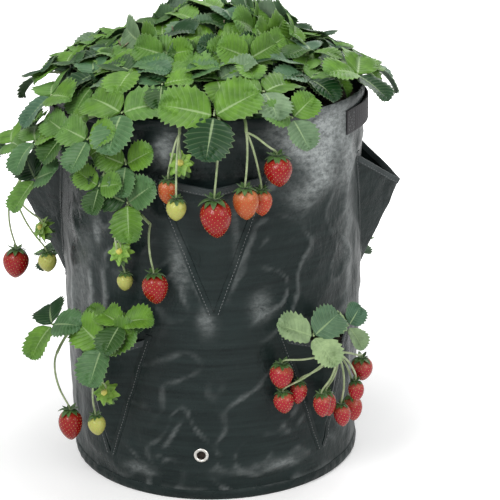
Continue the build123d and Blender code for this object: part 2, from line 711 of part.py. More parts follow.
def main():
    """Make every piece and write it to its own file."""
    os.makedirs("parts", exist_ok=True)
    save(bag_wall(), "bag_wall")
    save(bottom_panel(), "bottom_panel")
    save(band(0.0, BINDING_THICKNESS, 0.0, BINDING_HEIGHT), "bottom_binding")
    save(band(0.0, RIM_HEM_THICKNESS, BAG_HEIGHT - RIM_HEM_HEIGHT, BAG_HEIGHT), "rim_hem")
    save(side_seam_tape(), "side_seam_tape")
    for name, pocket in POCKETS.items():
        save(pocket_shell(pocket), f"pocket_{name}")
        save(pocket_hem(pocket), f"pocket_hem_{name}")
    save(handle_loop(90.0), "handle_right")
    save(handle_loop(-90.0), "handle_left")
    patches = handle_patches(90.0) + handle_patches(-90.0)
    save(Compound(children=[patch.solid() for patch in patches]), "handle_patches")
    angles = eyelet_angles()
    save(Compound(children=[eyelet(angle).solid() for angle in angles]), "drain_eyelets")
    save(Compound(children=[eyelet_washer(angle).solid() for angle in angles]), "eyelet_washers")
    save(soil_core(), "soil_core")
    save(Compound(children=[pocket_soil(p).solid() for p in POCKETS.values()]), "pocket_soil")
    for name in TOP_PLANTS:
        save(top_plant(name), name)
    for name in POCKET_PLANTS:
        save(pocket_plant(name), name)
    for name, truss in TRUSSES.items():
        save(truss_stems(truss), f"stems_{name}")
        save(truss_berries(truss), f"berries_{name}")


main()
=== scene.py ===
"""Looks of a planted strawberry grow bag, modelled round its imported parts.

Places are in metres in the part's own frame: the origin is the middle of the base, +Z is up and -Y is
the front. An angle is in degrees round the bag, from its front towards its right side.
"""
import logging
import math
from dataclasses import dataclass
from enum import Enum
from random import Random
from typing import Callable, Sequence

import bpy
import numpy as np
from mathutils import Matrix, Vector, noise


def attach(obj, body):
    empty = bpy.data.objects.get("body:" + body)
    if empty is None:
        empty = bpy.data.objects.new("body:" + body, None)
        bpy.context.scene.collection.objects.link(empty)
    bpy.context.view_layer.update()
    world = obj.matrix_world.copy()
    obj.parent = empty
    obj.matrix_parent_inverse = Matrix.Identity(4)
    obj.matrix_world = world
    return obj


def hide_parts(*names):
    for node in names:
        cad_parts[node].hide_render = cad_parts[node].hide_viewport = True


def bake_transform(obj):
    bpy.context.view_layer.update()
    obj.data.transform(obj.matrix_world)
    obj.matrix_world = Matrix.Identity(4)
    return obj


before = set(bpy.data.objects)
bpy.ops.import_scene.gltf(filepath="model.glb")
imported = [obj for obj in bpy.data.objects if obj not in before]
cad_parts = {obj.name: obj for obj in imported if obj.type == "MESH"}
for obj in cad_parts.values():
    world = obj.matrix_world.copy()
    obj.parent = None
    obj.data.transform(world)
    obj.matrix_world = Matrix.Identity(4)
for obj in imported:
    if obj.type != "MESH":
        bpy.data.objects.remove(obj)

log = logging.getLogger("grow_bag")

MM = 0.001
Points = np.ndarray
Piece = bpy.types.Object
Colour = tuple[float, float, float]

BAG_HEIGHT = 440 * MM
TOP_RADIUS = 175 * MM
BASE_RADIUS = 168 * MM
FABRIC = 1.2 * MM
RIM_HEM = 12 * MM
POCKET_HEIGHT = 152 * MM
POCKET_HALF_ANGLE = 18.5
HANDLE_LOW = 400 * MM
WEBBING_WIDTH = 27 * MM
EYELET_HEIGHT = 55 * MM
EYELET_ANGLES = (-6.0, 84.0, 174.0, 264.0)
SOIL_EDGE = 418 * MM
SOIL_CROWN = 12 * MM


class TintAndLight(Enum):
    """The green of a leaflet's upper side: deep green, a yellow-green painted for light shining through, a grey-green
    painted sky sheen, or pale.
    """

    DEEP = 0.0
    BRIGHT = 0.35
    GREY = 0.7
    PALE = 1.0


class Ripeness(Enum):
    """How far a berry has coloured, from pale green to red."""

    GREEN = 0.0
    TURNING = 0.45
    ROSY = 0.72
    RED = 1.0


@dataclass(frozen=True)
class Pocket:
    """A side pocket: its place, how far its lip stands out, how far it sags, and if it is planted."""

    name: str
    angle: float
    mouth: float
    reach: float
    drop: float
    planted: bool


@dataclass(frozen=True)
class Leaf:
    """A leaf's hub, its droop, its size, and the greens of its side, outer and side leaflets, with painted backlight
    and painted sky sheen among them.
    """

    angle: float
    radius: float
    height: float
    droop: float
    size: float
    tints_and_light: tuple[TintAndLight, TintAndLight, TintAndLight] = (TintAndLight.BRIGHT, TintAndLight.GREY, TintAndLight.DEEP)


@dataclass(frozen=True)
class Berry:
    """A berry: the place of its top, its size, how far forward it hangs, and its ripeness."""

    angle: float
    top: float
    radius: float
    length: float
    layer: float = 0.0
    ripeness: Ripeness = Ripeness.RED


@dataclass(frozen=True)
class Truss:
    """A fruit stalk: its plant, its pivot's angle, stand-off and height, berries and rosettes."""

    name: str
    plant: str
    angle: float
    stand_off: float
    height: float
    berries: tuple[Berry, ...]
    rosettes: tuple[Berry, ...] = ()


@dataclass(frozen=True)
class Plant:
    """A plant: its name, the place of its crown, and its leaves."""

    name: str
    angle: float
    radius: float
    leaves: tuple[Leaf, ...]


POCKETS = (
    Pocket("upper_front", 0.0, 376, 20, 5, False),
    Pocket("upper_right", 90.0, 366, 46, 45, False),
    Pocket("upper_back", 180.0, 366, 30, 18, False),
    Pocket("upper_left", -90.0, 366, 46, 45, True),
    Pocket("lower_front_left", -45.0, 189, 34, 22, True),
    Pocket("lower_front_right", 45.0, 189, 28, 16, True),
    Pocket("lower_back_right", 135.0, 189, 34, 22, True),
    Pocket("lower_back_left", -135.0, 189, 34, 22, True),
)

DBG = (TintAndLight.DEEP, TintAndLight.BRIGHT, TintAndLight.GREY)
BDB = (TintAndLight.BRIGHT, TintAndLight.DEEP, TintAndLight.BRIGHT)
BBD = (TintAndLight.BRIGHT, TintAndLight.BRIGHT, TintAndLight.DEEP)
GGB = (TintAndLight.GREY, TintAndLight.DEEP, TintAndLight.BRIGHT)
DDB = (TintAndLight.DEEP, TintAndLight.DEEP, TintAndLight.BRIGHT)
PPG = (TintAndLight.PALE, TintAndLight.PALE, TintAndLight.GREY)
BGB = (TintAndLight.BRIGHT, TintAndLight.GREY, TintAndLight.BRIGHT)

TOP_PLANTS = (
    Plant("plant_top_middle", 0.0, 0.0, (
        Leaf(10.0, 56, 500, 14.0, 0.85, BGB), Leaf(85.0, 60, 502, 16.0, 0.85),
        Leaf(160.0, 62, 506, 14.0, 0.95, BDB), Leaf(232.0, 60, 504, 14.0, 0.9),
        Leaf(300.0, 58, 500, 16.0, 0.85, BBD), Leaf(120.0, 20, 519, 6.0, 0.8, GGB),
        Leaf(-40.0, 22, 514, 8.0, 0.75),
    )),
    Plant("plant_top_left", -76.0, 110, (
        Leaf(-67.0, 187, 446, 35.0, 0.85, BGB), Leaf(-58.0, 146, 470, 18.0, 0.75, GGB),
        Leaf(-86.0, 160, 466, 18.0, 0.75, BBD), Leaf(-97.0, 186, 450, 28.0, 0.85),
        Leaf(-76.0, 122, 482, 5.0, 0.65, GGB),
    )),
    Plant("plant_top_front_left", -31.0, 118, (
        Leaf(-29.0, 188, 448, 38.0, 0.95, BGB), Leaf(-36.0, 138, 480, 10.0, 0.8, DBG),
        Leaf(-19.0, 150, 472, 20.0, 0.65, GGB),
    )),
    Plant("plant_top_front", 6.0, 112, (
        Leaf(1.4, 190, 450, 42.0, 1.0, BDB), Leaf(20.0, 168, 466, 15.0, 0.85, BGB),
        Leaf(26.0, 196, 442, 44.0, 0.66, BGB), Leaf(4.0, 134, 474, 15.0, 0.7, DBG),
        Leaf(20.0, 116, 484, 2.0, 0.65, BBD),
    )),
    Plant("plant_top_right", 66.0, 110, (
        Leaf(59.0, 187, 468, 25.0, 0.85, BDB), Leaf(46.0, 150, 466, 15.0, 0.75, GGB),
        Leaf(77.0, 162, 464, 20.0, 0.8, BBD), Leaf(92.0, 184, 454, 26.0, 0.8),
        Leaf(66.0, 124, 484, 5.0, 0.65, DBG),
    )),
    Plant("plant_top_back_right", 131.0, 112, (
        Leaf(113.0, 178, 458, 25.0, 0.8), Leaf(130.0, 184, 454, 28.0, 0.85, BDB),
        Leaf(148.0, 174, 462, 20.0, 0.85, BGB), Leaf(136.0, 134, 482, 8.0, 0.75, DBG),
        Leaf(118.0, 126, 480, 8.0, 0.65),
    )),
    Plant("plant_top_back", 184.0, 112, (
        Leaf(171.0, 180, 458, 25.0, 0.8, BDB), Leaf(187.0, 186, 452, 30.0, 0.85),
        Leaf(201.0, 170, 464, 18.0, 0.8, BBD), Leaf(184.0, 134, 484, 8.0, 0.75, GGB),
    )),
    Plant("plant_top_back_left", 231.0, 112, (
        Leaf(219.0, 178, 460, 22.0, 0.8), Leaf(234.0, 186, 452, 28.0, 0.85, BDB),
        Leaf(246.0, 164, 466, 18.0, 0.75, GGB), Leaf(230.0, 130, 482, 8.0, 0.75, BGB),
    )),
)

TRAILING_LEAVES = (
    Leaf(-41.0, 196, 398, 55.0, 0.6, GGB), Leaf(-26.5, 198, 396, 62.0, 0.6, BGB),
    Leaf(-25.5, 204, 356, 68.0, 0.75, DBG), Leaf(-51.0, 198, 418, 48.0, 0.7, BDB),
    Leaf(-38.0, 208, 420, 52.0, 0.66, BGB), Leaf(-34.0, 210, 372, 62.0, 0.55, BDB),
)

POCKET_PLANTS = (
    Plant("plant_upper_left", -90.0, 12, (
        Leaf(-59.0, 222, 364, 45.0, 0.8, DBG), Leaf(-62.0, 214, 402, 30.0, 0.75, BGB),
        Leaf(-80.0, 226, 384, 35.0, 0.8, BDB), Leaf(-100.0, 224, 378, 35.0, 0.8),
    )),
    Plant("plant_lower_front_left", -45.0, 11, (
        Leaf(-33.0, 222, 196, 55.0, 0.85, BGB), Leaf(-52.0, 226, 204, 35.0, 0.8, DBG),
        Leaf(-28.0, 214, 222, 30.0, 0.65, BDB),
    )),
    Plant("plant_lower_front_right", 45.0, 10, (
        Leaf(30.0, 214, 202, 40.0, 0.75, PPG), Leaf(46.0, 206, 196, 48.0, 0.52, PPG),
    )),
    Plant("plant_lower_back_right", 135.0, 11, (
        Leaf(127.0, 216, 202, 40.0, 0.7), Leaf(146.0, 222, 204, 40.0, 0.8, BDB),
        Leaf(135.0, 214, 224, 22.0, 0.7, GGB),
    )),
    Plant("plant_lower_back_left", -135.0, 11, (
        Leaf(-124.0, 222, 204, 40.0, 0.8, BDB), Leaf(-147.0, 222, 206, 40.0, 0.8),
        Leaf(-136.0, 214, 226, 22.0, 0.7, BGB),
    )),
)

ROSETTE_HEIGHT = 12
GREEN, TURNING, ROSY, RED = Ripeness

TRUSSES = (
    Truss("left", "plant_upper_left", -76.0, 52, 336, (
        Berry(-84.0, 252, 15, 36, 28), Berry(-70.5, 262, 11, 23, 12, GREEN),
    ), (Berry(-68.0, 294, 15, ROSETTE_HEIGHT, 12),)),
    Truss("front_left_young", "plant_top_front_left", -32.0, 18, 330, (
        Berry(-31.0, 268, 9, 20, 0, GREEN),
    ), (Berry(-31.0, 294, 14, ROSETTE_HEIGHT),)),
    Truss("front_left_ripe", "plant_top_front_left", -20.0, 16, 330, (
        Berry(-19.5, 274, 14, 35),
    )),
    Truss("front_young", "plant_top_front", -9.5, 14, 430, (
        Berry(-9.5, 368, 11, 23, 16, GREEN), Berry(-13.0, 382, 10, 25, 0, TURNING),
    ), (Berry(-9.0, 400, 15, ROSETTE_HEIGHT, 4),)),
    Truss("front_ripe", "plant_top_front", 3.0, 14, 430, (
        Berry(0.8, 368, 17.5, 42, 8),
    )),
    Truss("front_right", "plant_top_front", 11.5, 14, 430, (
        Berry(9.5, 376, 13.5, 34, 8, TURNING), Berry(15.5, 368, 11, 28, 2, TURNING),
        Berry(20.0, 404, 16, 32, 6),
    )),
    Truss("lower_left_ripe", "plant_lower_front_left", -52.5, 50, 168, (
        Berry(-54.0, 92, 14.5, 37, 14),
    )),
    Truss("lower_left_young", "plant_lower_front_left", -35.0, 46, 172, (
        Berry(-40.0, 102, 10.5, 23, 10, GREEN),
    ), (Berry(-35.0, 134, 15, ROSETTE_HEIGHT, 8),)),
    Truss("lower_right", "plant_lower_front_right", 37.0, 48, 178, (
        Berry(23.0, 164, 13.5, 28, 0, ROSY), Berry(23.5, 129, 11.5, 25, 0, ROSY),
        Berry(30.0, 137, 10, 26, 0, ROSY), Berry(34.0, 127, 10, 27, 18, ROSY),
        Berry(38.5, 121, 10.5, 28, 0, ROSY), Berry(43.0, 104, 10, 27, 12, ROSY),
        Berry(51.0, 152, 13, 28, 4, ROSY), Berry(46.0, 132, 9.5, 24, 16, ROSY),
        Berry(51.5, 101, 11, 30, 4, ROSY),
    )),
)


def polar(radius: float | Points, angle: float | Points, height: float | Points) -> Points:
    """Place at a distance from the bag's axis, an angle round it and a height.

    Args:
        radius: Distance from the axis.
        angle: Degrees from the front towards the right side.
        height: Height above the base.

    Returns:
        One point, or a row for each where arrays are given.
    """
    turn = np.radians(angle)
    x, y, z = np.broadcast_arrays(radius * np.sin(turn), -radius * np.cos(turn), height)
    return np.stack([x, y, z], axis=-1).astype(float)


def wall_radius(height: float | Points) -> float | Points:
    """Radius of the filled bag at a height."""
    return BASE_RADIUS + (TOP_RADIUS - BASE_RADIUS) * height / BAG_HEIGHT


def smooth(value: float | Points, low: float, high: float) -> float | Points:
    """Eased share of the way from a low value to a high one."""
    share = np.clip((value - low) / (high - low), 0.0, 1.0)
    return share * share * (3.0 - 2.0 * share)


def deselect() -> None:
    """Leave nothing selected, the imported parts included."""
    for item in bpy.context.selected_objects:
        item.select_set(False)


def take(piece: Piece) -> None:
    """Select one piece alone and make it active."""
    deselect()
    piece.select_set(True)
    bpy.context.view_layer.objects.active = piece


def read_points(piece: Piece) -> Points:
    """The places of a mesh's vertices."""
    flat = np.empty(len(piece.data.vertices) * 3, np.float32)
    piece.data.vertices.foreach_get("co", flat)
    return flat.reshape(-1, 3).astype(float)


def write_points(piece: Piece, points: Points) -> None:
    """Move a mesh's vertices to new places."""
    piece.data.vertices.foreach_set("co", points.astype(np.float32).ravel())
    piece.data.update()


def finish_modifier(piece: Piece, kind: str, **settings: object) -> None:
    """Add a modifier to a piece and apply it.

    Args:
        piece: The piece to change.
        kind: The modifier's type.
        settings: The modifier's own settings.
    """
    take(piece)
    modifier = piece.modifiers.new(kind.title(), kind)
    for name, value in settings.items():
        setattr(modifier, name, value)
    bpy.ops.object.modifier_apply(modifier=modifier.name)


def merge_doubles(piece: Piece, distance: float = 0.02 * MM) -> None:
    """Weld vertices that lie on each other, as along a seam or at a pole."""
    take(piece)
    bpy.ops.object.mode_set(mode="EDIT")
    bpy.ops.mesh.select_all(action="SELECT")
    bpy.ops.mesh.remove_doubles(threshold=distance)
    bpy.ops.object.mode_set(mode="OBJECT")


def turn_faces_out(piece: Piece) -> None:
    """Point the faces of a closed piece outwards."""
    take(piece)
    bpy.ops.object.mode_set(mode="EDIT")
    bpy.ops.mesh.select_all(action="SELECT")
    bpy.ops.mesh.normals_make_consistent(inside=False)
    bpy.ops.object.mode_set(mode="OBJECT")


def soften(piece: Piece, angle: float = 50.0) -> None:
    """Shade a piece smooth, apart from edges sharper than an angle."""
    take(piece)
    bpy.ops.object.shade_smooth_by_angle(angle=math.radians(angle))


def lay_sheet(name: str, columns: int, rows: int, place: Callable[[Points, Points], Points]) -> Piece:
    """Make a grid and lay it over a surface.

    Args:
        name: The piece's name.
        columns: Faces across.
        rows: Faces along.
        place: Gives the places for shares across and along, from 0 to 1.

    Returns:
        The sheet, with a UV map of the same shares.
    """
    deselect()
    bpy.ops.mesh.primitive_grid_add(x_subdivisions=columns, y_subdivisions=rows, size=2.0)
    piece = bpy.context.object
    piece.name = name
    flat = read_points(piece)
    write_points(piece, place((flat[:, 0] + 1) / 2, (flat[:, 1] + 1) / 2))
    return piece


def join(name: str, pieces: Sequence[Piece]) -> Piece:
    """Join several pieces into one.

    Args:
        name: The name of the whole.
        pieces: What is joined.

    Returns:
        The whole.
    """
    deselect()
    for piece in pieces:
        piece.select_set(True)
    bpy.context.view_layer.objects.active = pieces[0]
    if len(pieces) > 1:
        bpy.ops.object.join()
    pieces[0].name = name
    return pieces[0]


def repeat(name: str, model: Piece, places: Sequence[Matrix]) -> Piece:
    """Copy a small shape to many places as one piece, and delete the shape.

    Args:
        name: The name of the whole.
        model: The shape, at the origin.
        places: Where each copy goes.

    Returns:
        The copies as one mesh.
    """
    points = read_points(model)
    faces = [tuple(face.vertices) for face in model.data.polygons]
    spots = [points @ np.array(place.to_3x3()).T + np.array(place.translation) for place in places]
    count = len(points)
    every = [tuple(v + k * count for v in face) for k in range(len(places)) for face in faces]
    mesh = bpy.data.meshes.new(name)
    mesh.from_pydata(np.concatenate(spots).tolist(), [], every)
    whole = bpy.data.objects.new(name, mesh)
    bpy.context.scene.collection.objects.link(whole)
    bpy.data.objects.remove(model)
    return whole


def paint(piece: Piece, attribute: str, values: Points | float) -> None:
    """Store a number at each vertex for the finish to read."""
    layer = piece.data.attributes.get(attribute) or piece.data.attributes.new(attribute, "FLOAT", "POINT")
    count = len(piece.data.vertices)
    layer.data.foreach_set("value", np.broadcast_to(values, (count,)).astype(np.float32))


@dataclass(frozen=True)
class Shoot:
    """One stalk: the points that it grows through and its thickness at both ends."""

    points: tuple[Points, ...]
    start: float
    end: float


def grow(name: str, shoots: Sequence[Shoot], sides: int = 2) -> Piece:
    """Make round tapered stalks along smooth curves.

    Args:
        name: The name of the whole.
        shoots: The stalks.
        sides: How round the stalks are.

    Returns:
        All the stalks as one mesh.
    """
    deselect()
    bpy.ops.curve.primitive_nurbs_path_add()
    piece = bpy.context.object
    curve = piece.data
    curve.splines.clear()
    for shoot in shoots:
        spline = curve.splines.new("NURBS")
        spline.points.add(len(shoot.points) - 1)
        for k, point in enumerate(shoot.points):
            share = k / (len(shoot.points) - 1)
            spline.points[k].co = (*point, 1.0)
            spline.points[k].radius = shoot.start + (shoot.end - shoot.start) * share
        spline.order_u = min(4, len(shoot.points))
        spline.use_endpoint_u = True
        spline.resolution_u = 5
    curve.dimensions = "3D"
    curve.bevel_depth = 1.0
    curve.bevel_resolution = sides
    curve.use_fill_caps = True
    bpy.ops.object.convert(target="MESH")
    piece = bpy.context.object
    piece.name = name
    soften(piece, 60.0)
    return piece


def place_on(piece: Piece, body: str, finishes: Sequence[bpy.types.Material],
             nodes: Sequence[str] = ()) -> Piece:
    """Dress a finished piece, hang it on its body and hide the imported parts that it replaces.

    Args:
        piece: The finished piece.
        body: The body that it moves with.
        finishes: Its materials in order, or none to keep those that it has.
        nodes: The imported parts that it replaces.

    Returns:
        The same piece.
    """
    if finishes:
        kept = [polygon.material_index for polygon in piece.data.polygons]
        piece.data.materials.clear()
        for finish in finishes:
            piece.data.materials.append(finish)
        piece.data.polygons.foreach_set("material_index", [min(k, len(finishes) - 1) for k in kept])
    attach(piece, body)
    if nodes:
        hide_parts(*nodes)
    log.info("%s: %d faces, on %s", piece.name, len(piece.data.polygons), body)
    return piece


class Board:
    """The nodes of one material, laid out by short calls."""

    def __init__(self, name: str) -> None:
        """Start a material with one principled shader.

        Args:
            name: The material's name.
        """
        self.material = bpy.data.materials.new(name)
        self.material.use_nodes = True
        self.tree = self.material.node_tree
        self.shader = self.tree.nodes["Principled BSDF"]

    def add(self, kind: str, inputs: dict[str | int, object] | None = None, **settings: object) -> bpy.types.Node:
        """Add a node.

        Args:
            kind: The node's type, without its ShaderNode beginning.
            inputs: Values or sockets for its inputs.
            settings: The node's own settings.

        Returns:
            The node.
        """
        node = self.tree.nodes.new("ShaderNode" + kind)
        for name, value in settings.items():
            setattr(node, name, value)
        for name, value in (inputs or {}).items():
            self.feed(node.inputs[name], value)
        return node

    def feed(self, socket: bpy.types.NodeSocket, value: object) -> None:
        """Set a socket to a value, or link it to another socket."""
        if isinstance(value, bpy.types.NodeSocket):
            self.tree.links.new(value, socket)
        elif isinstance(value, tuple) and len(value) == 3 and socket.type == "RGBA":
            socket.default_value = (*value, 1.0)
        else:
            socket.default_value = value

    def set(self, **inputs: object) -> None:
        """Set inputs of the shader, named with underscores for spaces."""
        for name, value in inputs.items():
            self.feed(self.shader.inputs[name.replace("_", " ")], value)

    def place(self) -> bpy.types.NodeSocket:
        """Places on the piece itself."""
        return self.add("TexCoord").outputs["Object"]

    def layer(self, name: str) -> bpy.types.NodeSocket:
        """A number stored at the piece's vertices."""
        return self.add("Attribute", attribute_name=name).outputs["Fac"]

    def uv(self) -> tuple[bpy.types.NodeSocket, bpy.types.NodeSocket]:
        """Shares across and along a laid sheet."""
        parts = self.add("SeparateXYZ", {0: self.add("TexCoord").outputs["UV"]})
        return parts.outputs["X"], parts.outputs["Y"]

    def math(self, operation: str, *values: object) -> bpy.types.NodeSocket:
        """The result of a sum on one, two or three numbers."""
        node = self.add("Math", dict(enumerate(values)), operation=operation)
        return node.outputs[0]

    def speckle(self, vector: bpy.types.NodeSocket, scale: float, detail: float = 4.0,
                rough: float = 0.6) -> bpy.types.NodeSocket:
        """Cloudy noise from 0 to 1 at a scale."""
        node = self.add("TexNoise", {"Vector": vector, "Scale": scale, "Detail": detail, "Roughness": rough})
        return node.outputs["Fac"]

    def stretch(self, vector: bpy.types.NodeSocket, scale: tuple[float, float, float]) -> bpy.types.NodeSocket:
        """Places scaled apart along the three axes."""
        return self.add("Mapping", {"Vector": vector, "Scale": scale}).outputs[0]

    def ramp(self, value: object, *stops: tuple[float, float | Colour]) -> bpy.types.NodeSocket:
        """A colour or grey for each value, between stops.

        Args:
            value: What picks the colour.
            stops: Place and colour, or place and grey, of each stop.

        Returns:
            The colour.
        """
        node = self.add("ValToRGB", {0: value})
        band = node.color_ramp
        while len(band.elements) < len(stops):
            band.elements.new(1.0)
        for element, (place, colour) in zip(band.elements, stops):
            element.position = place
            shade = colour if isinstance(colour, tuple) else (colour, colour, colour)
            element.color = (*shade, 1.0)
        return node.outputs["Color"]

    def blend(self, share: object, first: object, second: object, mode: str = "MIX") -> bpy.types.NodeSocket:
        """One colour laid over another.

        Args:
            share: How much of the second shows.
            first: The colour below.
            second: The colour above.
            mode: How they mix.

        Returns:
            The mixed colour.
        """
        node = self.add("Mix", data_type="RGBA", blend_type=mode)
        self.feed(node.inputs["Factor"], share)
        self.feed(node.inputs[6], first)
        self.feed(node.inputs[7], second)
        return node.outputs[2]

    def emboss(self, height: object, distance: float, strength: float = 1.0,
               under: bpy.types.NodeSocket | None = None) -> bpy.types.NodeSocket:
        """Relief from a height, over another relief if there is one."""
        inputs = {"Height": height, "Distance": distance, "Strength": strength}
        if under is not None:
            inputs["Normal"] = under
        return self.add("Bump", inputs).outputs[0]


@dataclass(frozen=True)
class Tarp:
    """Woven plastic sheet: dark slate green, lightened to silver grey by painted sheen in patches and painted
    highlights along its creases.
    """

    name: str = "woven_tarp"
    dark: Colour = (0.004, 0.008, 0.008)
    light: Colour = (0.016, 0.026, 0.025)
    # Silver grey of the painted sheen and the painted crease highlights.
    bloom: Colour = (0.40, 0.43, 0.425)
    tape: float = 2.2 * MM
    around: float = 1.08
    up: float = 0.44
    roughness: float = 0.27

    def make(self) -> bpy.types.Material:
        """Build the finish."""
        board = Board(self.name)
        place = board.place()
        across, along = board.uv()
        streaks = board.speckle(board.stretch(place, (9.0, 9.0, 160.0)), 1.0, 6.0, 0.7)
        clouds = board.speckle(place, 14.0, 5.0, 0.65)
        weft = board.math("PINGPONG", board.math("MULTIPLY", along, self.up / self.tape), 0.5)
        warp = board.math("PINGPONG", board.math("MULTIPLY", across, self.around / self.tape), 0.5)
        weave = board.math("MULTIPLY", weft, warp)
        base = board.ramp(streaks, (0.32, self.dark), (0.68, self.light))
        base = board.blend(board.ramp(clouds, (0.35, 0.0), (0.75, 0.6)), base, self.light)
        crinkle = board.add("TexVoronoi", {
            "Vector": board.stretch(place, (1.0, 1.0, 1.3)), "Scale": 60.0,
        }, feature="DISTANCE_TO_EDGE").outputs["Distance"]
        grain = board.speckle(board.stretch(place, (1.0, 1.0, 1.6)), 120.0, 6.0, 0.75)
        # Painted sheen in patches, then painted highlights on the crease ridges, both mixed toward the silver grey.
        sheen_patch = board.math("MULTIPLY", board.layer("bloom"), board.ramp(grain, (0.36, 0.25), (0.66, 1.0)))
        base = board.blend(board.math("MINIMUM", board.math("MULTIPLY", sheen_patch, 1.3), 1.0), base, self.bloom)
        glint = board.math("MULTIPLY", board.layer("glint"), board.ramp(grain, (0.32, 0.45), (0.62, 1.0)))
        base = board.blend(glint, base, self.bloom)
        relief = board.emboss(weave, 0.25 * MM, 0.5)
        relief = board.emboss(board.ramp(crinkle, (0.0, 0.0), (0.12, 1.0)), 0.4 * MM, 0.2, relief)
        relief = board.emboss(board.speckle(board.stretch(place, (1.0, 1.0, 0.6)), 52.0, 4.0, 0.55), 3.0 * MM, 0.8, relief)
        board.set(Base_Color=base, Normal=relief, Specular_IOR_Level=0.17,
                  Roughness=board.ramp(clouds, (0.3, self.roughness - 0.06), (0.7, self.roughness + 0.12)))
        return board.material


@dataclass(frozen=True)
class Cloth:
    """Sewn edge or strap of plastic yarn, woven fine along its length."""

    name: str
    colour: Colour
    glint: Colour
    across: float
    along: float
    roughness: float = 0.62

    def make(self) -> bpy.types.Material:
        """Build the finish."""
        board = Board(self.name)
        across, along = board.uv()
        place = board.place()
        rib = board.math("PINGPONG", board.math("MULTIPLY", across, self.across), 0.5)
        pick = board.math("PINGPONG", board.math(
            "ADD", board.math("MULTIPLY", along, self.along), board.math("MULTIPLY", rib, 1.0)), 0.5)
        yarn = board.math("MULTIPLY", rib, pick)
        wear = board.speckle(place, 70.0, 5.0, 0.7)
        tone = board.ramp(board.math("MULTIPLY", yarn, 3.6), (0.1, self.colour), (0.9, self.glint))
        tone = board.blend(board.ramp(wear, (0.45, 0.0), (0.75, 0.35)), tone, self.glint)
        relief = board.emboss(yarn, 0.5 * MM, 0.8)
        relief = board.emboss(wear, 0.5 * MM, 0.3, relief)
        board.set(Base_Color=tone, Normal=relief, Roughness=self.roughness)
        return board.material


@dataclass(frozen=True)
class Plain:
    """Speckled finish for thread, soil, twigs, seeds and metal."""

    name: str
    dark: Colour
    light: Colour
    scale: float
    roughness: float
    relief: float
    metallic: float = 0.0

    def make(self) -> bpy.types.Material:
        """Build the finish."""
        board = Board(self.name)
        place = board.place()
        grain = board.speckle(place, self.scale, 6.0, 0.7)
        tone = board.ramp(grain, (0.33, self.dark), (0.67, self.light))
        board.set(Base_Color=tone, Roughness=self.roughness, Metallic=self.metallic,
                  Normal=board.emboss(grain, self.relief, 0.8))
        return board.material


@dataclass(frozen=True)
class Blade:
    """Leaf surface: one of three greens, two of them painted light (a yellow-green for light shining through and a
    grey-green sky sheen), greyer toward the tip with painted sheen, with sunken pale veins and a paler rim.
    """

    name: str
    deep: Colour
    backlit: Colour
    grey: Colour
    vein: Colour
    veins: int
    roughness: float = 0.42

    def make(self) -> bpy.types.Material:
        """Build the finish."""
        board = Board(self.name)
        across, along = board.uv()
        place = board.place()
        aside = board.math("ABSOLUTE", board.math("SUBTRACT", across, 0.5))
        # Deep green, yellow-green painted for light shining through, grey-green painted sky sheen, or pale.
        tint = board.ramp(board.layer("tint"), (0.0, self.deep), (0.35, self.backlit), (0.7, self.grey), (1.0, self.vein))
        cloud = board.speckle(place, 75.0, 4.0, 0.6)
        tone = board.blend(board.ramp(cloud, (0.35, 0.0), (0.7, 0.5)), tint, self.deep)
        # Painted sheen: greyer toward the tip and the margins.
        outer = board.ramp(board.math("MULTIPLY", along, board.math("ADD", aside, 0.5)), (0.45, 0.0), (0.95, 0.28))
        tone = board.blend(outer, tone, self.grey)
        wave = board.math("PINGPONG", board.math("ADD", board.math("MULTIPLY", along, self.veins), 0.5), 0.5)
        side_vein = board.ramp(wave, (0.0, 1.0), (0.09, 0.0))
        rib_width = board.math("MULTIPLY", board.math("SUBTRACT", 1.05, along), 0.045)
        rib = board.ramp(board.math("DIVIDE", aside, rib_width), (0.45, 1.0), (1.0, 0.0))
        tone = board.blend(board.math("MULTIPLY", side_vein, 0.20), tone, self.vein)
        tone = board.blend(board.math("MULTIPLY", rib, 0.6), tone, self.vein)
        edge = board.ramp(aside, (0.48, 0.0), (0.5, 0.3))
        tone = board.blend(edge, tone, self.vein)
        cells = board.add("TexVoronoi", {"Vector": place, "Scale": 520.0},
                          feature="DISTANCE_TO_EDGE").outputs["Distance"]
        relief = board.emboss(board.ramp(wave, (0.0, 0.0), (0.4, 1.0)), 0.5 * MM, 0.6)
        relief = board.emboss(cells, 0.3 * MM, 0.35, relief)
        board.set(Base_Color=tone, Normal=relief, Roughness=self.roughness, Specular_IOR_Level=0.22)
        return board.material


@dataclass(frozen=True)
class Skin:
    """Berry skin: pale green when unripe, orange when turning, red with pale shoulders when ripe."""

    name: str = "berry_skin"
    green: Colour = (0.40, 0.42, 0.10)
    turning: Colour = (0.42, 0.045, 0.014)
    rosy: Colour = (0.34, 0.008, 0.020)
    red: Colour = (0.27, 0.003, 0.004)
    shoulder: Colour = (0.52, 0.24, 0.10)

    def make(self) -> bpy.types.Material:
        """Build the finish."""
        board = Board(self.name)
        ripeness = board.layer("ripeness")
        depth = board.layer("depth")
        place = board.place()
        flesh = board.ramp(ripeness, (0.0, self.green), (0.45, self.turning), (0.72, self.rosy), (1.0, self.red))
        cloud = board.speckle(place, 110.0, 4.0, 0.6)
        pale = board.ramp(board.math("ADD", depth, board.math("MULTIPLY", cloud, 0.22)), (0.10, 0.85), (0.42, 0.0))
        pale_share = board.math("MULTIPLY", pale, board.ramp(ripeness, (0.3, 1.0), (0.72, 0.5), (1.0, 0.12)))
        tone = board.blend(pale_share, flesh, self.shoulder)
        green = board.ramp(ripeness, (0.1, 1.0), (0.3, 0.0))
        tone = board.blend(green, tone, self.green)
        tone = board.blend(board.ramp(cloud, (0.4, 0.0), (0.8, 0.35)), tone, flesh)
        board.set(Base_Color=tone, Roughness=0.24, Specular_IOR_Level=0.3, Coat_Weight=0.1, Coat_Roughness=0.1,
                  Normal=board.emboss(cloud, 0.25 * MM, 0.4))
        return board.material


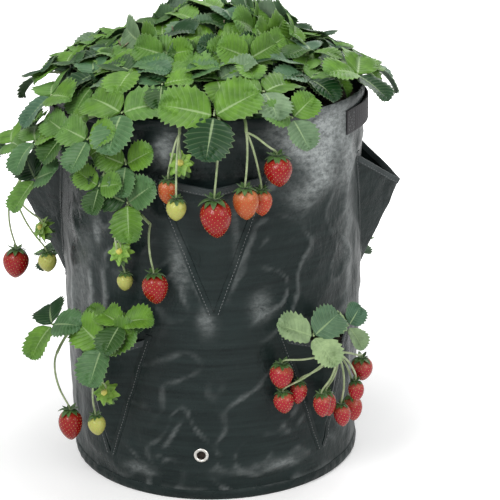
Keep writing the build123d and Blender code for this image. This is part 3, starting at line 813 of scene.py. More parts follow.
@dataclass(frozen=True)
class Green:
    """Stalks and caps: a green that varies along the piece, a little silvery with hairs."""

    name: str
    dark: Colour
    light: Colour
    roughness: float = 0.5

    def make(self) -> bpy.types.Material:
        """Build the finish."""
        board = Board(self.name)
        place = board.place()
        cloud = board.speckle(place, 90.0, 4.0, 0.6)
        fine = board.speckle(place, 900.0, 3.0, 0.6)
        tone = board.ramp(cloud, (0.32, self.dark), (0.68, self.light))
        board.set(Base_Color=tone, Roughness=self.roughness, Normal=board.emboss(fine, 0.15 * MM, 0.5),
                  Sheen_Weight=0.25, Sheen_Roughness=0.4)
        return board.material


class Finishes:
    """Every material of the bag and its plants."""

    def __init__(self) -> None:
        """Make each finish once."""
        self.tarp = Tarp().make()
        self.binding = Cloth("sewn_edge", (0.016, 0.024, 0.025), (0.055, 0.072, 0.072), 4.0, 260.0).make()
        self.webbing = Cloth("strap_webbing", (0.012, 0.011, 0.013), (0.050, 0.048, 0.052), 14.0, 60.0).make()
        self.thread = Plain("sewing_thread", (0.10, 0.11, 0.11), (0.26, 0.27, 0.27), 900.0, 0.6, 0.05 * MM).make()
        self.metal = Plain("nickel", (0.62, 0.60, 0.55), (0.80, 0.78, 0.74), 160.0, 0.26, 0.02 * MM, 1.0).make()
        self.soil = Plain("potting_soil", (0.006, 0.004, 0.003), (0.045, 0.028, 0.018), 260.0, 0.9, 1.2 * MM).make()
        self.twig = Plain("dry_twig", (0.10, 0.075, 0.05), (0.34, 0.29, 0.20), 240.0, 0.75, 0.3 * MM).make()
        self.seed = Plain("berry_seed", (0.34, 0.18, 0.04), (0.62, 0.44, 0.14), 700.0, 0.45, 0.02 * MM).make()
        # The upper side's yellow-green and grey-green are painted backlight and painted sky sheen.
        self.leaf_top = Blade("leaf_upper_side", (0.006, 0.036, 0.007), (0.128, 0.275, 0.028),
                              (0.060, 0.135, 0.080), (0.33, 0.45, 0.22), 10).make()
        self.leaf_under = Blade("leaf_underside", (0.11, 0.20, 0.11), (0.15, 0.26, 0.13),
                                (0.24, 0.33, 0.25), (0.38, 0.48, 0.32), 10, 0.6).make()
        self.skin = Skin().make()
        self.stalk = Green("leaf_stalk", (0.14, 0.22, 0.06), (0.36, 0.46, 0.22)).make()
        self.fruit_stem = Green("fruit_stem", (0.17, 0.24, 0.09), (0.42, 0.49, 0.28)).make()
        self.cap = Green("berry_cap", (0.018, 0.055, 0.008), (0.075, 0.16, 0.03)).make()
        self.rosette = Green("young_rosette", (0.10, 0.25, 0.02), (0.27, 0.44, 0.06)).make()
        self.heart = Green("rosette_heart", (0.45, 0.42, 0.06), (0.72, 0.66, 0.16)).make()


@dataclass(frozen=True)
class Crease:
    """A fold in the sheet, from one place to another on the wall."""

    angle: float
    height: float
    end_angle: float
    end_height: float
    width: float
    rise: float


@dataclass(frozen=True)
class SheenPatch:
    """A place on the wall where painted sheen lightens the sheet toward silver grey."""

    angle: float
    height: float
    half_angle: float
    half_height: float
    strength: float


CREASES = (
    Crease(12.0, 325, 1.0, 250, 5, -3.0), Crease(17.0, 330, 5.0, 240, 6, 2.2),
    Crease(-12.0, 300, -3.0, 232, 5, 2.2), Crease(-17.0, 420, -16.0, 385, 5, 1.8),
    Crease(-68.0, 250, -68.0, 160, 5, 2.6), Crease(-60.0, 255, -62.0, 175, 4, -2.0),
    Crease(-52.0, 270, -53.0, 185, 5, 2.2), Crease(-43.0, 280, -45.0, 195, 4, 1.8),
    Crease(30.0, 420, 45.0, 395, 5, 1.6), Crease(42.0, 425, 47.0, 370, 5, -2.2),
    Crease(52.0, 430, 56.0, 350, 5, 2.2), Crease(36.0, 370, 52.0, 352, 5, 2.2),
    Crease(-30.0, 60, 10.0, 44, 6, -2.2), Crease(5.0, 30, 45.0, 42, 6, 2.4),
    Crease(-60.0, 36, -20.0, 26, 6, 2.0), Crease(20.0, 58, 60.0, 64, 7, -2.0),
    Crease(-10.0, 110, -25.0, 40, 6, 1.6), Crease(22.0, 120, 34.0, 60, 6, -1.6),
    Crease(60.0, 200, 66.0, 80, 6, 2.0), Crease(110.0, 300, 118.0, 200, 7, 2.4),
    Crease(140.0, 420, 150.0, 330, 7, -2.2), Crease(165.0, 180, 200.0, 160, 7, 2.0),
    Crease(205.0, 320, 215.0, 210, 7, 2.4), Crease(240.0, 160, 250.0, 60, 7, -2.2),
    Crease(190.0, 60, 230.0, 40, 6, 2.4), Crease(100.0, 50, 150.0, 36, 6, 2.2),
)

SHEEN_PATCHES = (
    SheenPatch(43, 400, 17, 42, 1.0), SheenPatch(32, 415, 9, 24, 0.9), SheenPatch(57, 400, 9, 44, 0.7),
    SheenPatch(62, 300, 4, 90, 0.28), SheenPatch(-60, 225, 13, 60, 0.22), SheenPatch(-16, 405, 4, 18, 0.55),
    SheenPatch(-12, 280, 3, 32, 0.3), SheenPatch(17, 225, 4, 14, 0.34), SheenPatch(-2, 215, 3, 16, 0.3),
    SheenPatch(-68, 210, 2, 36, 0.45), SheenPatch(-52, 225, 1.5, 36, 0.35), SheenPatch(-44, 230, 1.5, 30, 0.3),
    SheenPatch(-47, 300, 2.5, 16, 0.4), SheenPatch(22, 375, 2.5, 12, 0.35), SheenPatch(8, 330, 1.5, 40, 0.25),
    SheenPatch(-30, 30, 6, 6, 0.25), SheenPatch(26, 35, 7, 6, 0.3), SheenPatch(120, 390, 12, 28, 0.5),
    SheenPatch(150, 240, 4, 40, 0.4), SheenPatch(206, 300, 4, 50, 0.45), SheenPatch(235, 395, 10, 24, 0.45),
    SheenPatch(170, 60, 9, 10, 0.3),
)


@dataclass
class Drape:
    """How the sheet creases and bulges over the soil, and where painted sheen and painted crease highlights lighten
    it.
    """

    bulge: float = 3.0 * MM
    folds: float = 2.4 * MM
    crumple: float = 2.0 * MM
    foot: float = 4.2 * MM
    lowest: float = -0.9 * MM
    highest: float = 2.7 * MM

    def rise(self, angle: Points, height: Points) -> Points:
        """How far the sheet stands out of the plain cone.

        Args:
            angle: Degrees round the bag.
            height: Height above the base.

        Returns:
            The rise at each place.
        """
        angle, height = np.broadcast_arrays(np.asarray(angle, float), np.asarray(height, float))
        where = polar(wall_radius(height), angle, height)
        rise = np.array([self.roughness(Vector(p)) for p in where.reshape(-1, 3)]).reshape(angle.shape)
        for crease in CREASES:
            rise = rise + 1.4 * crease.rise * MM * self.near(crease, angle, height)
        half = (self.highest - self.lowest) / 2
        rise = self.lowest + half * (1.0 + np.tanh((rise + self.lowest) / half))
        for eyelet in EYELET_ANGLES:
            aside = ((angle - eyelet + 180.0) % 360.0 - 180.0) * math.radians(BASE_RADIUS)
            gap = np.hypot(aside, height - EYELET_HEIGHT)
            rise = rise * (1.0 - 0.95 * np.exp(-(gap / (17 * MM)) ** 2))
        loose = smooth(height, 0.0, 14 * MM) * (1.0 - 0.75 * smooth(height, BAG_HEIGHT - 26 * MM, BAG_HEIGHT))
        side = np.abs(np.abs((angle + 180.0) % 360.0 - 180.0) - 90.0)
        strap = (1.0 - smooth(side, 30.0, 38.0)) * smooth(height, 388 * MM, 400 * MM)
        return rise * loose * (1.0 - 0.9 * strap)

    def roughness(self, place: Vector) -> float:
        """Bulges, upright folds, crumples and the crushed foot at one place."""
        bulge = noise.noise(place * 7.0)
        fold = noise.noise(Vector((place.x * 26.0, place.y * 26.0, place.z * 5.0)))
        bend = Vector((noise.noise(place * 16.0), noise.noise(place * 16.0 + Vector((9, 4, 7))), 0.0))
        crest = 1.0 - 2.4 * abs(noise.noise(place * 21.0 + bend * 0.9))
        foot = noise.noise(Vector((place.x * 17.0, place.y * 17.0, place.z * 42.0 + 3.0)))
        share = 1.0 - smooth(place.z, 30 * MM, 95 * MM)
        return (self.bulge * bulge + self.folds * fold + self.crumple * max(crest, -0.2)
                + self.foot * share * foot + 0.6 * MM * noise.noise(place * 62.0))

    @staticmethod
    def near(crease: Crease, angle: Points, height: Points) -> Points:
        """How close places lie to a crease, from 0 to 1."""
        span = math.radians(1.0) * BASE_RADIUS
        aside = ((angle - crease.angle + 180.0) % 360.0 - 180.0) * span
        up = height - crease.height * MM
        run = np.array([(crease.end_angle - crease.angle) * span, (crease.end_height - crease.height) * MM])
        share = np.clip((aside * run[0] + up * run[1]) / (run @ run), 0.0, 1.0)
        gap = np.hypot(aside - share * run[0], up - share * run[1])
        ends = np.sin(np.pi * np.clip(share, 0.06, 0.94))
        return np.exp(-(gap / (crease.width * MM)) ** 1.5) * ends

    def glint(self, points: Points) -> Points:
        """How strongly a painted highlight lightens the sheet's creases, from how sharply they stand out."""
        angle = np.degrees(np.arctan2(points[:, 0], -points[:, 1]))
        height = points[:, 2]
        aside, up = math.degrees(7 * MM / BASE_RADIUS), 7 * MM
        here = self.rise(angle, height)
        steps = ((aside, 0.0), (-aside, 0.0), (0.0, up), (0.0, -up))
        round_about = sum(self.rise(angle + a, np.clip(height + b, 0.0, BAG_HEIGHT)) for a, b in steps) / 4
        return 0.22 * smooth(here - round_about, 0.05 * MM, 0.85 * MM)

    @staticmethod
    def bloom(points: Points) -> Points:
        """How strongly painted sheen lightens the sheet at places on it."""
        angle = np.degrees(np.arctan2(points[:, 0], -points[:, 1]))
        total = np.zeros(len(points))
        drift = np.array([noise.noise_vector(Vector(p) * 22.0) for p in points])
        for sheen_patch in SHEEN_PATCHES:
            aside = ((angle - sheen_patch.angle + 180.0) % 360.0 - 180.0) / sheen_patch.half_angle + 0.9 * drift[:, 0]
            up = (points[:, 2] - sheen_patch.height * MM) / (sheen_patch.half_height * MM) + 0.9 * drift[:, 1]
            total = np.maximum(total, sheen_patch.strength * np.exp(-(aside ** 2 + up ** 2) ** 1.2))
        return total


@dataclass
class PocketCloth:
    """The sheet of one pocket: two faces from the seams on the wall to a crease down the middle."""

    pocket: Pocket
    drape: Drape
    fullness: float = 1.12
    ripple: float = 1.2 * MM

    def seam(self, side: float | Points, level: Points) -> Points:
        """Places along the pocket's left or right seam, from its foot to its mouth."""
        height = (self.pocket.mouth * MM - POCKET_HEIGHT) + POCKET_HEIGHT * level
        angle = self.pocket.angle + side * POCKET_HALF_ANGLE * level
        rise = self.drape.rise(angle, height)
        return polar(wall_radius(height) + rise, angle, height)

    def crease(self, level: Points) -> Points:
        """Places along the crease, from the foot to the lip's tip."""
        foot = self.pocket.mouth * MM - POCKET_HEIGHT
        tip = (self.pocket.mouth - self.pocket.drop) * MM
        height = foot + (tip - foot) * level
        reach = self.pocket.reach * MM * level
        return polar(wall_radius(height) + reach, self.pocket.angle + 0.0 * level, height)

    def sheet(self, across: Points, level: Points) -> Points:
        """Places on the pocket's outside.

        Args:
            across: From 0 at the left seam to 1 at the right seam.
            level: From 0 at the foot to 1 at the mouth.

        Returns:
            The place of each point.
        """
        side = 2.0 * across - 1.0
        left, right = self.seam(-1.0, level), self.seam(1.0, level)
        middle = (left + right) / 2
        swell = 1.0 - np.abs(side) ** self.fullness
        flat = middle + side[:, None] * (right - left) / 2 + swell[:, None] * (self.crease(level) - middle)
        ripples = np.array([noise.noise(Vector(p) * 30.0) + 0.7 * noise.noise(Vector(p) * 70.0) for p in flat])
        free = (1.0 - np.abs(side) ** 6) * smooth(level, 0.0, 0.25)
        out = polar(1.0, self.pocket.angle, 0.0)
        return flat + (self.ripple * ripples * free)[:, None] * out

    def lifted(self, across: Points, level: Points, lift: Points | float) -> Points:
        """Places a little off the sheet, along its own normal."""
        step = 0.004
        here = self.sheet(across, level)
        over = self.sheet(np.clip(across + step, 0, 1), level) - self.sheet(np.clip(across - step, 0, 1), level)
        up = self.sheet(across, level + step) - self.sheet(across, level - step)
        normal = np.cross(over, up)
        normal /= np.maximum(np.linalg.norm(normal, axis=1), 1e-9)[:, None]
        return here + normal * np.broadcast_to(lift, (len(here),))[:, None]


@dataclass
class BagBody:
    """The sack: its wall, bottom, binding, rim hem and side seam."""

    finishes: Finishes
    drape: Drape
    columns: int = 312
    rows: int = 130
    window_inset: float = 10 * MM
    binding_height: float = 12 * MM
    binding_stand: float = 1.2 * MM
    seam_angle: float = 157.5
    seam_width: float = 6 * MM
    barrel: float = 6.0 * MM

    def build(self) -> None:
        """Make the sack's pieces."""
        self.wall()
        self.bottom()
        self.edges()
        self.side_seam()

    def wall(self) -> None:
        """The creased wall, with a window behind each pocket and a hole for each eyelet."""
        def place(across: Points, up: Points) -> Points:
            angle = 180.0 + 360.0 * across
            height = BAG_HEIGHT * up
            return polar(wall_radius(height) + self.drape.rise(angle, height), angle, height)

        wall = lay_sheet("bag_wall_sheet", self.columns, self.rows, place)
        merge_doubles(wall)
        finish_modifier(wall, "SOLIDIFY", thickness=FABRIC, offset=-1.0)
        cutters = [self.window(pocket) for pocket in POCKETS]
        cutters += [self.eyelet_hole(angle) for angle in EYELET_ANGLES]
        cutter = join("window_cutter", cutters)
        turn_faces_out(cutter)
        finish_modifier(wall, "BOOLEAN", object=cutter, operation="DIFFERENCE", solver="EXACT")
        bpy.data.objects.remove(cutter)
        # Where painted sheen and painted crease highlights lighten the wall.
        paint(wall, "bloom", self.drape.bloom(read_points(wall)))
        paint(wall, "glint", self.drape.glint(read_points(wall)))
        soften(wall, 40.0)
        place_on(wall, "bag", [self.finishes.tarp], ["bag_wall"])

    def window(self, pocket: Pocket) -> Piece:
        """A three-sided bar through the wall behind a pocket."""
        deselect()
        bpy.ops.mesh.primitive_cylinder_add(vertices=3, radius=1.0, depth=1.0)
        bar = bpy.context.object
        half = wall_radius(pocket.mouth * MM) * math.sin(math.radians(POCKET_HALF_ANGLE))
        top = pocket.mouth * MM - self.window_inset
        slope = math.hypot(half, POCKET_HEIGHT) / half
        narrow = self.window_inset * (slope + half / POCKET_HEIGHT * 0.5)
        low = pocket.mouth * MM - POCKET_HEIGHT + self.window_inset * slope
        half = (half - narrow) * 0.97
        corners = [(-half, top), (half, top), (0.0, low)]
        points = read_points(bar)
        ring = sorted(range(len(points)), key=lambda k: (points[k, 2], math.atan2(points[k, 1], points[k, 0])))
        out = Vector(polar(1.0, pocket.angle, 0.0))
        aside = Vector(polar(1.0, pocket.angle + 90.0, 0.0))
        for slot, index in enumerate(ring):
            x, z = corners[slot % 3]
            depth = 0.12 if slot < 3 else 0.23
            points[index] = out * depth + aside * x + Vector((0, 0, z))
        write_points(bar, points)
        return bar

    def eyelet_hole(self, angle: float) -> Piece:
        """A round bar through the wall at an eyelet."""
        deselect()
        turn = Matrix.Rotation(math.radians(angle), 4, "Z") @ Matrix.Rotation(math.radians(90.0), 4, "X")
        bpy.ops.mesh.primitive_cylinder_add(vertices=24, radius=self.barrel, depth=0.06)
        bar = bpy.context.object
        spot = polar(wall_radius(EYELET_HEIGHT), angle, EYELET_HEIGHT)
        bar.data.transform(Matrix.Translation(spot) @ turn)
        return bar

    def bottom(self) -> None:
        """The round sheet that closes the sack, a little crumpled."""
        deselect()
        bpy.ops.mesh.primitive_circle_add(vertices=96, radius=BASE_RADIUS - FABRIC, fill_type="NGON")
        panel = bpy.context.object
        bpy.ops.object.mode_set(mode="EDIT")
        bpy.ops.mesh.select_all(action="SELECT")
        for inset in (0.02, 0.03, 0.04, 0.04, 0.025):
            bpy.ops.mesh.inset(thickness=inset)
        bpy.ops.object.mode_set(mode="OBJECT")
        points = read_points(panel)
        points[:, 2] = [0.9 * MM + 0.8 * MM * (0.5 + 0.5 * noise.noise(Vector(p) * 25.0)) for p in points]
        write_points(panel, points)
        finish_modifier(panel, "SOLIDIFY", thickness=0.9 * MM, offset=-1.0)
        # The bottom gets no painted sheen.
        paint(panel, "bloom", 0.0)
        panel.name = "bottom_sheet"
        soften(panel)
        place_on(panel, "bag", [self.finishes.tarp], ["bottom_panel"])

    def ring(self, name: str, profile: Sequence[tuple[float, float]], node: str, pucker: float) -> None:
        """A sewn edge all round the bag.

        Args:
            name: The piece's name.
            profile: Height and stand-off from the wall of each line round the edge.
            node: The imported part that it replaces.
            pucker: How far it stands out between its stitches.
        """
        heights = np.array([step[0] for step in profile])
        stands = np.array([step[1] for step in profile])

        def place(across: Points, up: Points) -> Points:
            row = up * (len(profile) - 1)
            height = np.interp(row, np.arange(len(profile)), heights)
            stand = np.interp(row, np.arange(len(profile)), stands)
            angle = 180.0 + 360.0 * across
            tuck = np.array([noise.noise(Vector((a * 0.22, z * 60.0, 2.0))) for a, z in zip(angle % 360.0, height)])
            stand = stand + pucker * (np.sin(np.radians(angle) * 64.0) * 0.4 + 1.3 * tuck) * np.sin(np.pi * up)
            return polar(wall_radius(height) + stand + self.drape.rise(angle, height), angle, height)

        edge = lay_sheet(name, 288, len(profile) - 1, place)
        merge_doubles(edge)
        finish_modifier(edge, "SOLIDIFY", thickness=0.8 * MM, offset=-1.0)
        soften(edge)
        # Painted sheen, weaker on the sewn edges.
        paint(edge, "bloom", 0.7 * self.drape.bloom(read_points(edge)))
        place_on(edge, "bag", [self.finishes.tarp], [node])

    def edges(self) -> None:
        """The binding round the base and the hem round the rim, with their stitches."""
        low, stand = self.binding_height, self.binding_stand
        self.ring("base_binding", [(0.0, 0.3 * MM), (1.5 * MM, stand), (low / 2, stand + 0.4 * MM),
                                   (low - 1.5 * MM, stand), (low, 0.4 * MM)], "bottom_binding", 0.8 * MM)
        top = BAG_HEIGHT
        self.ring("rim_hem_fold", [(top - RIM_HEM, 0.3 * MM), (top - RIM_HEM + 1 * MM, 1.1 * MM),
                                   (top - 5 * MM, 1.3 * MM), (top - 1 * MM, 1.1 * MM), (top + 0.4 * MM, 0.0),
                                   (top + 0.2 * MM, -1.4 * MM), (top - RIM_HEM, -2.2 * MM)], "rim_hem", 0.5 * MM)

    def side_seam(self) -> None:
        """The tape over the upright joint in the wall."""
        half = math.degrees(self.seam_width / 2 / BASE_RADIUS)

        def place(across: Points, up: Points) -> Points:
            height = self.binding_height + (BAG_HEIGHT - RIM_HEM - self.binding_height) * up
            angle = self.seam_angle + half * (2.0 * across - 1.0)
            crown = 0.9 * MM - 0.5 * MM * np.abs(2.0 * across - 1.0) ** 4
            return polar(wall_radius(height) + crown + self.drape.rise(angle, height), angle, height)

        tape = lay_sheet("side_seam_strip", 6, 90, place)
        finish_modifier(tape, "SOLIDIFY", thickness=0.8 * MM, offset=-1.0)
        soften(tape)
        place_on(tape, "bag", [self.finishes.binding], ["side_seam_tape"])


@dataclass
class Pockets:
    """The eight side pockets with their flaps, hems and stitches."""

    finishes: Finishes
    drape: Drape
    flap: float = 8 * MM
    hem: float = 8 * MM
    columns: int = 44
    rows: int = 48
    stitch_pitch: float = 3.6 * MM

    def build(self) -> None:
        """Make every pocket."""
        for pocket in POCKETS:
            cloth = PocketCloth(pocket, self.drape)
            face = self.face(cloth)
            hem = self.fold(cloth)
            self.stitches(cloth)
            width, length, area = self.cut(cloth)

    def cut(self, cloth: PocketCloth) -> tuple[float, float, float]:
        """The width, length and area that a pocket's sheet is cut to, its flaps included."""
        ends = np.array([0.0, 1.0])
        foot, corner = cloth.seam(1.0, ends)
        tip = cloth.crease(ends)[1]
        seam = float(np.linalg.norm(corner - foot))
        half = float(np.linalg.norm(np.cross(corner - foot, tip - foot))) / 2
        lip = float(np.linalg.norm(corner - tip))
        return 2 * (lip + self.flap), seam, 2 * (half + self.flap * seam)

    def face(self, cloth: PocketCloth) -> Piece:
        """The pocket's sheet with the flaps that are sewn to the wall."""
        name = cloth.pocket.name
        face = lay_sheet("face", self.columns, self.rows, cloth.sheet)
        finish_modifier(face, "SOLIDIFY", thickness=FABRIC, offset=-1.0)
        parts = [face]
        for side in (-1.0, 1.0):
            def place(across: Points, level: Points, side: float = side) -> Points:
                out = (across if side > 0 else 1.0 - across) * self.flap
                reach = 1.0 + self.flap * 0.8 / POCKET_HEIGHT
                height = cloth.pocket.mouth * MM - POCKET_HEIGHT * (1.0 - level * reach)
                base = cloth.pocket.angle + side * POCKET_HALF_ANGLE * level * reach
                angle = base + side * np.degrees((out - 1.0 * MM) / BASE_RADIUS)
                stand = 1.0 * MM - 0.6 * MM * (out / self.flap) ** 6
                return polar(wall_radius(height) + stand + self.drape.rise(angle, height), angle, height)

            strip = lay_sheet("flap", 4, self.rows, place)
            finish_modifier(strip, "SOLIDIFY", thickness=0.9 * MM, offset=-1.0)
            parts.append(strip)
        whole = join(f"pocket_cloth_{name}", parts)
        # Painted sheen, weaker on the pocket.
        paint(whole, "bloom", 0.6 * self.drape.bloom(read_points(whole)))
        soften(whole, 40.0)
        return place_on(whole, "bag", [self.finishes.tarp], [f"pocket_{name}"])

    def fold(self, cloth: PocketCloth) -> Piece:
        """The hem folded over the pocket's mouth."""
        share = self.hem / POCKET_HEIGHT
        section = [(1.0 - share, 0.15 * MM), (1.0 - share, 0.9 * MM), (1.0 - 0.1 * share, 1.0 * MM),
                   (1.003, 0.8 * MM), (1.006, -0.3 * MM), (1.003, -1.6 * MM), (1.0 - 0.1 * share, -1.9 * MM),
                   (1.0 - share, -1.8 * MM), (1.0 - share, -1.3 * MM)]
        levels = np.array([step[0] for step in section])
        lifts = np.array([step[1] for step in section])

        def place(across: Points, along: Points) -> Points:
            row = along * (len(section) - 1)
            level = np.interp(row, np.arange(len(section)), levels)
            lift = np.interp(row, np.arange(len(section)), lifts)
            return cloth.lifted(0.004 + 0.992 * across, level, lift)

        hem = lay_sheet(f"pocket_hem_fold_{cloth.pocket.name}", self.columns, len(section) - 1, place)
        soften(hem)
        return place_on(hem, "bag", [self.finishes.binding], [f"pocket_hem_{cloth.pocket.name}"])

    def stitches(self, cloth: PocketCloth) -> None:
        """Thread along the seams and the hem."""
        spots = []
        steps = int(POCKET_HEIGHT / self.stitch_pitch)
        level = (np.arange(steps) + 0.5) / steps
        for side in (-1.0, 1.0):
            height = cloth.pocket.mouth * MM - POCKET_HEIGHT * (1.0 - level)
            angle = cloth.pocket.angle + side * (POCKET_HALF_ANGLE * level + math.degrees(4 * MM / BASE_RADIUS))
            spots.append(polar(wall_radius(height) + 1.05 * MM + self.drape.rise(angle, height), angle, height))
        count = int(0.11 / self.stitch_pitch)
        across = 0.05 + 0.9 * np.arange(count) / (count - 1)
        spots.append(cloth.lifted(across, np.full(count, 1.0 - 0.8 * self.hem / POCKET_HEIGHT), 1.0 * MM))
        places = [matrix for row in spots for matrix in along_line(row)]
        thread = repeat(f"pocket_thread_{cloth.pocket.name}", stitch_model(), places)
        place_on(thread, "bag", [self.finishes.thread])


def stitch_model() -> Piece:
    """One stitch of thread, lying along X at the origin."""
    deselect()
    bpy.ops.mesh.primitive_uv_sphere_add(segments=6, ring_count=4, radius=1.0)
    model = bpy.context.object
    write_points(model, read_points(model)[:, [2, 0, 1]] * [1.25 * MM, 0.32 * MM, 0.32 * MM])
    return model


def along_line(points: Points) -> list[Matrix]:
    """Places for small pieces that lie along a line.

    Args:
        points: The line's points in order.

    Returns:
        A matrix for each point, its X along the line.
    """
    runs = np.gradient(points, axis=0)
    places = []
    for point, run in zip(points, runs):
        turn = Vector(run).to_track_quat("X", "Z").to_matrix().to_4x4()
        places.append(Matrix.Translation(point) @ turn)
    return places


@dataclass
class Handles:
    """The two webbing handles and their four stitched ends."""

    finishes: Finishes
    drape: Drape
    free_angle: float = 25.5
    patch_angle: float = 32.5
    swing: float = 35.0
    pivot_step: float = 5.0 * MM
    thickness: float = 1.6 * MM
    gap: float = 0.3 * MM
    hem: float = 1.0 * MM

    def build(self) -> None:
        """Make both handles and their ends."""
        for side, angle in (("right", 90.0), ("left", -90.0)):
            for half, sign in (("a", -1.0), ("b", 1.0)):
                self.loop(side, angle, half, sign)
        ends = [self.end(angle, sign) for angle in (90.0, -90.0) for sign in (-1.0, 1.0)]
        whole = join("webbing_ends", ends)
        soften(whole)
        place_on(whole, "bag", [self.finishes.webbing], ["handle_patches"])
        self.thread()

    def arc(self) -> tuple[float, float, float]:
        """Half the free length, the arc's middle and its radius, from the bag's axis."""
        radius = wall_radius(HANDLE_LOW + WEBBING_WIDTH) + self.gap
        half = radius * math.sin(math.radians(self.free_angle))
        seat = math.sqrt(radius ** 2 - half ** 2)
        rise = radius - seat + self.hem + self.gap - self.pivot_step
        bow = self.pivot_step + rise / math.cos(math.radians(self.swing))
        curve = (bow ** 2 + half ** 2) / (2 * bow)
        return half, seat + bow - curve, curve

    def strip(self, name: str, angle: float, start: float, end: float, reach: Callable[[Points], Points]) -> Piece:
        """A flat length of webbing along the wall.

        Args:
            name: The piece's name.
            angle: The handle's angle round the bag.
            start: Where it starts, to the side of the handle's middle.
            end: Where it ends.
            reach: Distance of its inner face from the axis, for places to the side.

        Returns:
            The webbing.
        """
        out, aside = polar(1.0, angle, 0.0), polar(1.0, angle + 90.0, 0.0)

        def place(across: Points, up: Points) -> Points:
            way = start + (end - start) * across
            height = HANDLE_LOW + WEBBING_WIDTH * up
            outer = reach(way) + self.thickness
            return way[:, None] * aside + outer[:, None] * out + height[:, None] * np.array([0, 0, 1.0])

        piece = lay_sheet(name, 26, 10, place)
        finish_modifier(piece, "SOLIDIFY", thickness=self.thickness, offset=-1.0)
        finish_modifier(piece, "BEVEL", width=0.4 * MM, segments=2, limit_method="ANGLE")
        return piece

    def loop(self, side: str, angle: float, half_name: str, sign: float) -> None:
        """Half of a handle's free loop, which bends where it leaves its stitched end."""
        half, middle, curve = self.arc()

        def reach(way: Points) -> Points:
            return middle + np.sqrt(curve ** 2 - way ** 2)

        ends = sorted((0.0, sign * (half + 0.2 * MM)))
        piece = self.strip(f"handle_{side}_{half_name}", angle, ends[0], ends[1], reach)
        soften(piece)
        self.wear_blend(piece, side, angle)

    def wear_blend(self, piece: Piece, side: str, angle: float) -> None:
        """Dress half a loop, set its place into its mesh and hide the imported handle."""
        piece.data.materials.clear()
        piece.data.materials.append(self.finishes.webbing)
        out, aside = polar(1.0, angle, 0.0), polar(1.0, angle + 90.0, 0.0)
        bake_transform(piece)
        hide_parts(f"handle_{side}")

    def end(self, angle: float, sign: float) -> Piece:
        """One stitched end, flat on the wall."""
        half = self.arc()[0]
        outer = wall_radius(HANDLE_LOW) * math.sin(math.radians(self.patch_angle))

        def reach(way: Points) -> Points:
            spot = np.degrees(np.arcsin(way / wall_radius(HANDLE_LOW)))
            lift = self.drape.rise(angle + spot, np.full(len(way), HANDLE_LOW + WEBBING_WIDTH / 2))
            return np.sqrt(wall_radius(HANDLE_LOW + WEBBING_WIDTH) ** 2 - way ** 2) + lift + 0.4 * MM

        ends = sorted((sign * (half + 0.3 * MM), sign * outer))
        return self.strip("end", angle, ends[0], ends[1], reach)

    def thread(self) -> None:
        """A sewn box with crossed stitches on each end."""
        half = self.arc()[0]
        outer = wall_radius(HANDLE_LOW) * math.sin(math.radians(self.patch_angle))
        places = []
        for angle in (90.0, -90.0):
            out, aside = polar(1.0, angle, 0.0), polar(1.0, angle + 90.0, 0.0)
            for sign in (-1.0, 1.0):
                near, far = half + 3 * MM, outer - 3 * MM
                low, high = HANDLE_LOW + 3.5 * MM, HANDLE_LOW + WEBBING_WIDTH - 3.5 * MM
                corners = [(near, low), (far, low), (far, high), (near, high), (near, low), (far, high)]
                corners += [(near, high), (far, low)]
                for (x0, z0), (x1, z1) in zip(corners[:-1], corners[1:]):
                    count = max(3, int(math.hypot(x1 - x0, z1 - z0) / (3.4 * MM)))
                    share = (np.arange(count) + 0.5) / count
                    way = sign * (x0 + (x1 - x0) * share)
                    reach = np.sqrt(wall_radius(HANDLE_LOW + WEBBING_WIDTH) ** 2 - way ** 2) + self.thickness
                    line = way[:, None] * aside + (reach + 0.6 * MM)[:, None] * out
                    line[:, 2] = z0 + (z1 - z0) * share
                    places += along_line(line)
        thread = repeat("webbing_thread", stitch_model(), places)
        place_on(thread, "bag", [self.finishes.thread])


@dataclass
class Eyelets:
    """The drain eyelets with their rolled rims, and the washers behind them."""

    finishes: Finishes
    rim_radius: float = 6.9 * MM
    rim_width: float = 1.5 * MM
    rim_rise: float = 1.0 * MM
    barrel: float = 5.6 * MM
    depth: float = 2.6 * MM

    def build(self) -> None:
        """Make the eyelets, and dress the washers."""
        rings = [self.one(angle) for angle in EYELET_ANGLES]
        whole = join("eyelet_rims", rings)
        soften(whole, 60.0)
        place_on(whole, "bag", [self.finishes.metal], ["drain_eyelets"])
        dress_node("eyelet_washers", self.finishes.metal)

    def one(self, angle: float) -> Piece:
        """A rolled rim with its barrel."""
        deselect()
        bpy.ops.mesh.primitive_torus_add(major_segments=40, minor_segments=10, major_radius=self.rim_radius,
                                         minor_radius=self.rim_width)
        rim = bpy.context.object
        points = read_points(rim)
        points[:, 2] *= self.rim_rise / self.rim_width
        points[:, 2] = np.maximum(points[:, 2], -0.25 * MM)
        write_points(rim, points)
        deselect()
        bpy.ops.mesh.primitive_cylinder_add(vertices=40, radius=self.barrel, depth=self.depth,
                                            end_fill_type="NOTHING", location=(0, 0, -self.depth / 2))
        barrel = bpy.context.object
        bpy.ops.object.transform_apply(location=True, rotation=True, scale=True)
        finish_modifier(barrel, "SOLIDIFY", thickness=0.5 * MM, offset=-1.0)
        whole = join("eyelet", [rim, barrel])
        turn = Matrix.Rotation(math.radians(angle), 4, "Z") @ Matrix.Rotation(math.radians(90.0), 4, "X")
        spot = polar(wall_radius(EYELET_HEIGHT) + 0.4 * MM, angle, EYELET_HEIGHT)
        whole.data.transform(Matrix.Translation(spot) @ turn)
        return whole


def dress_node(node: str, finish: bpy.types.Material) -> None:
    """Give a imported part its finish."""
    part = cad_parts[node]
    part.data.materials.clear()
    part.data.materials.append(finish)


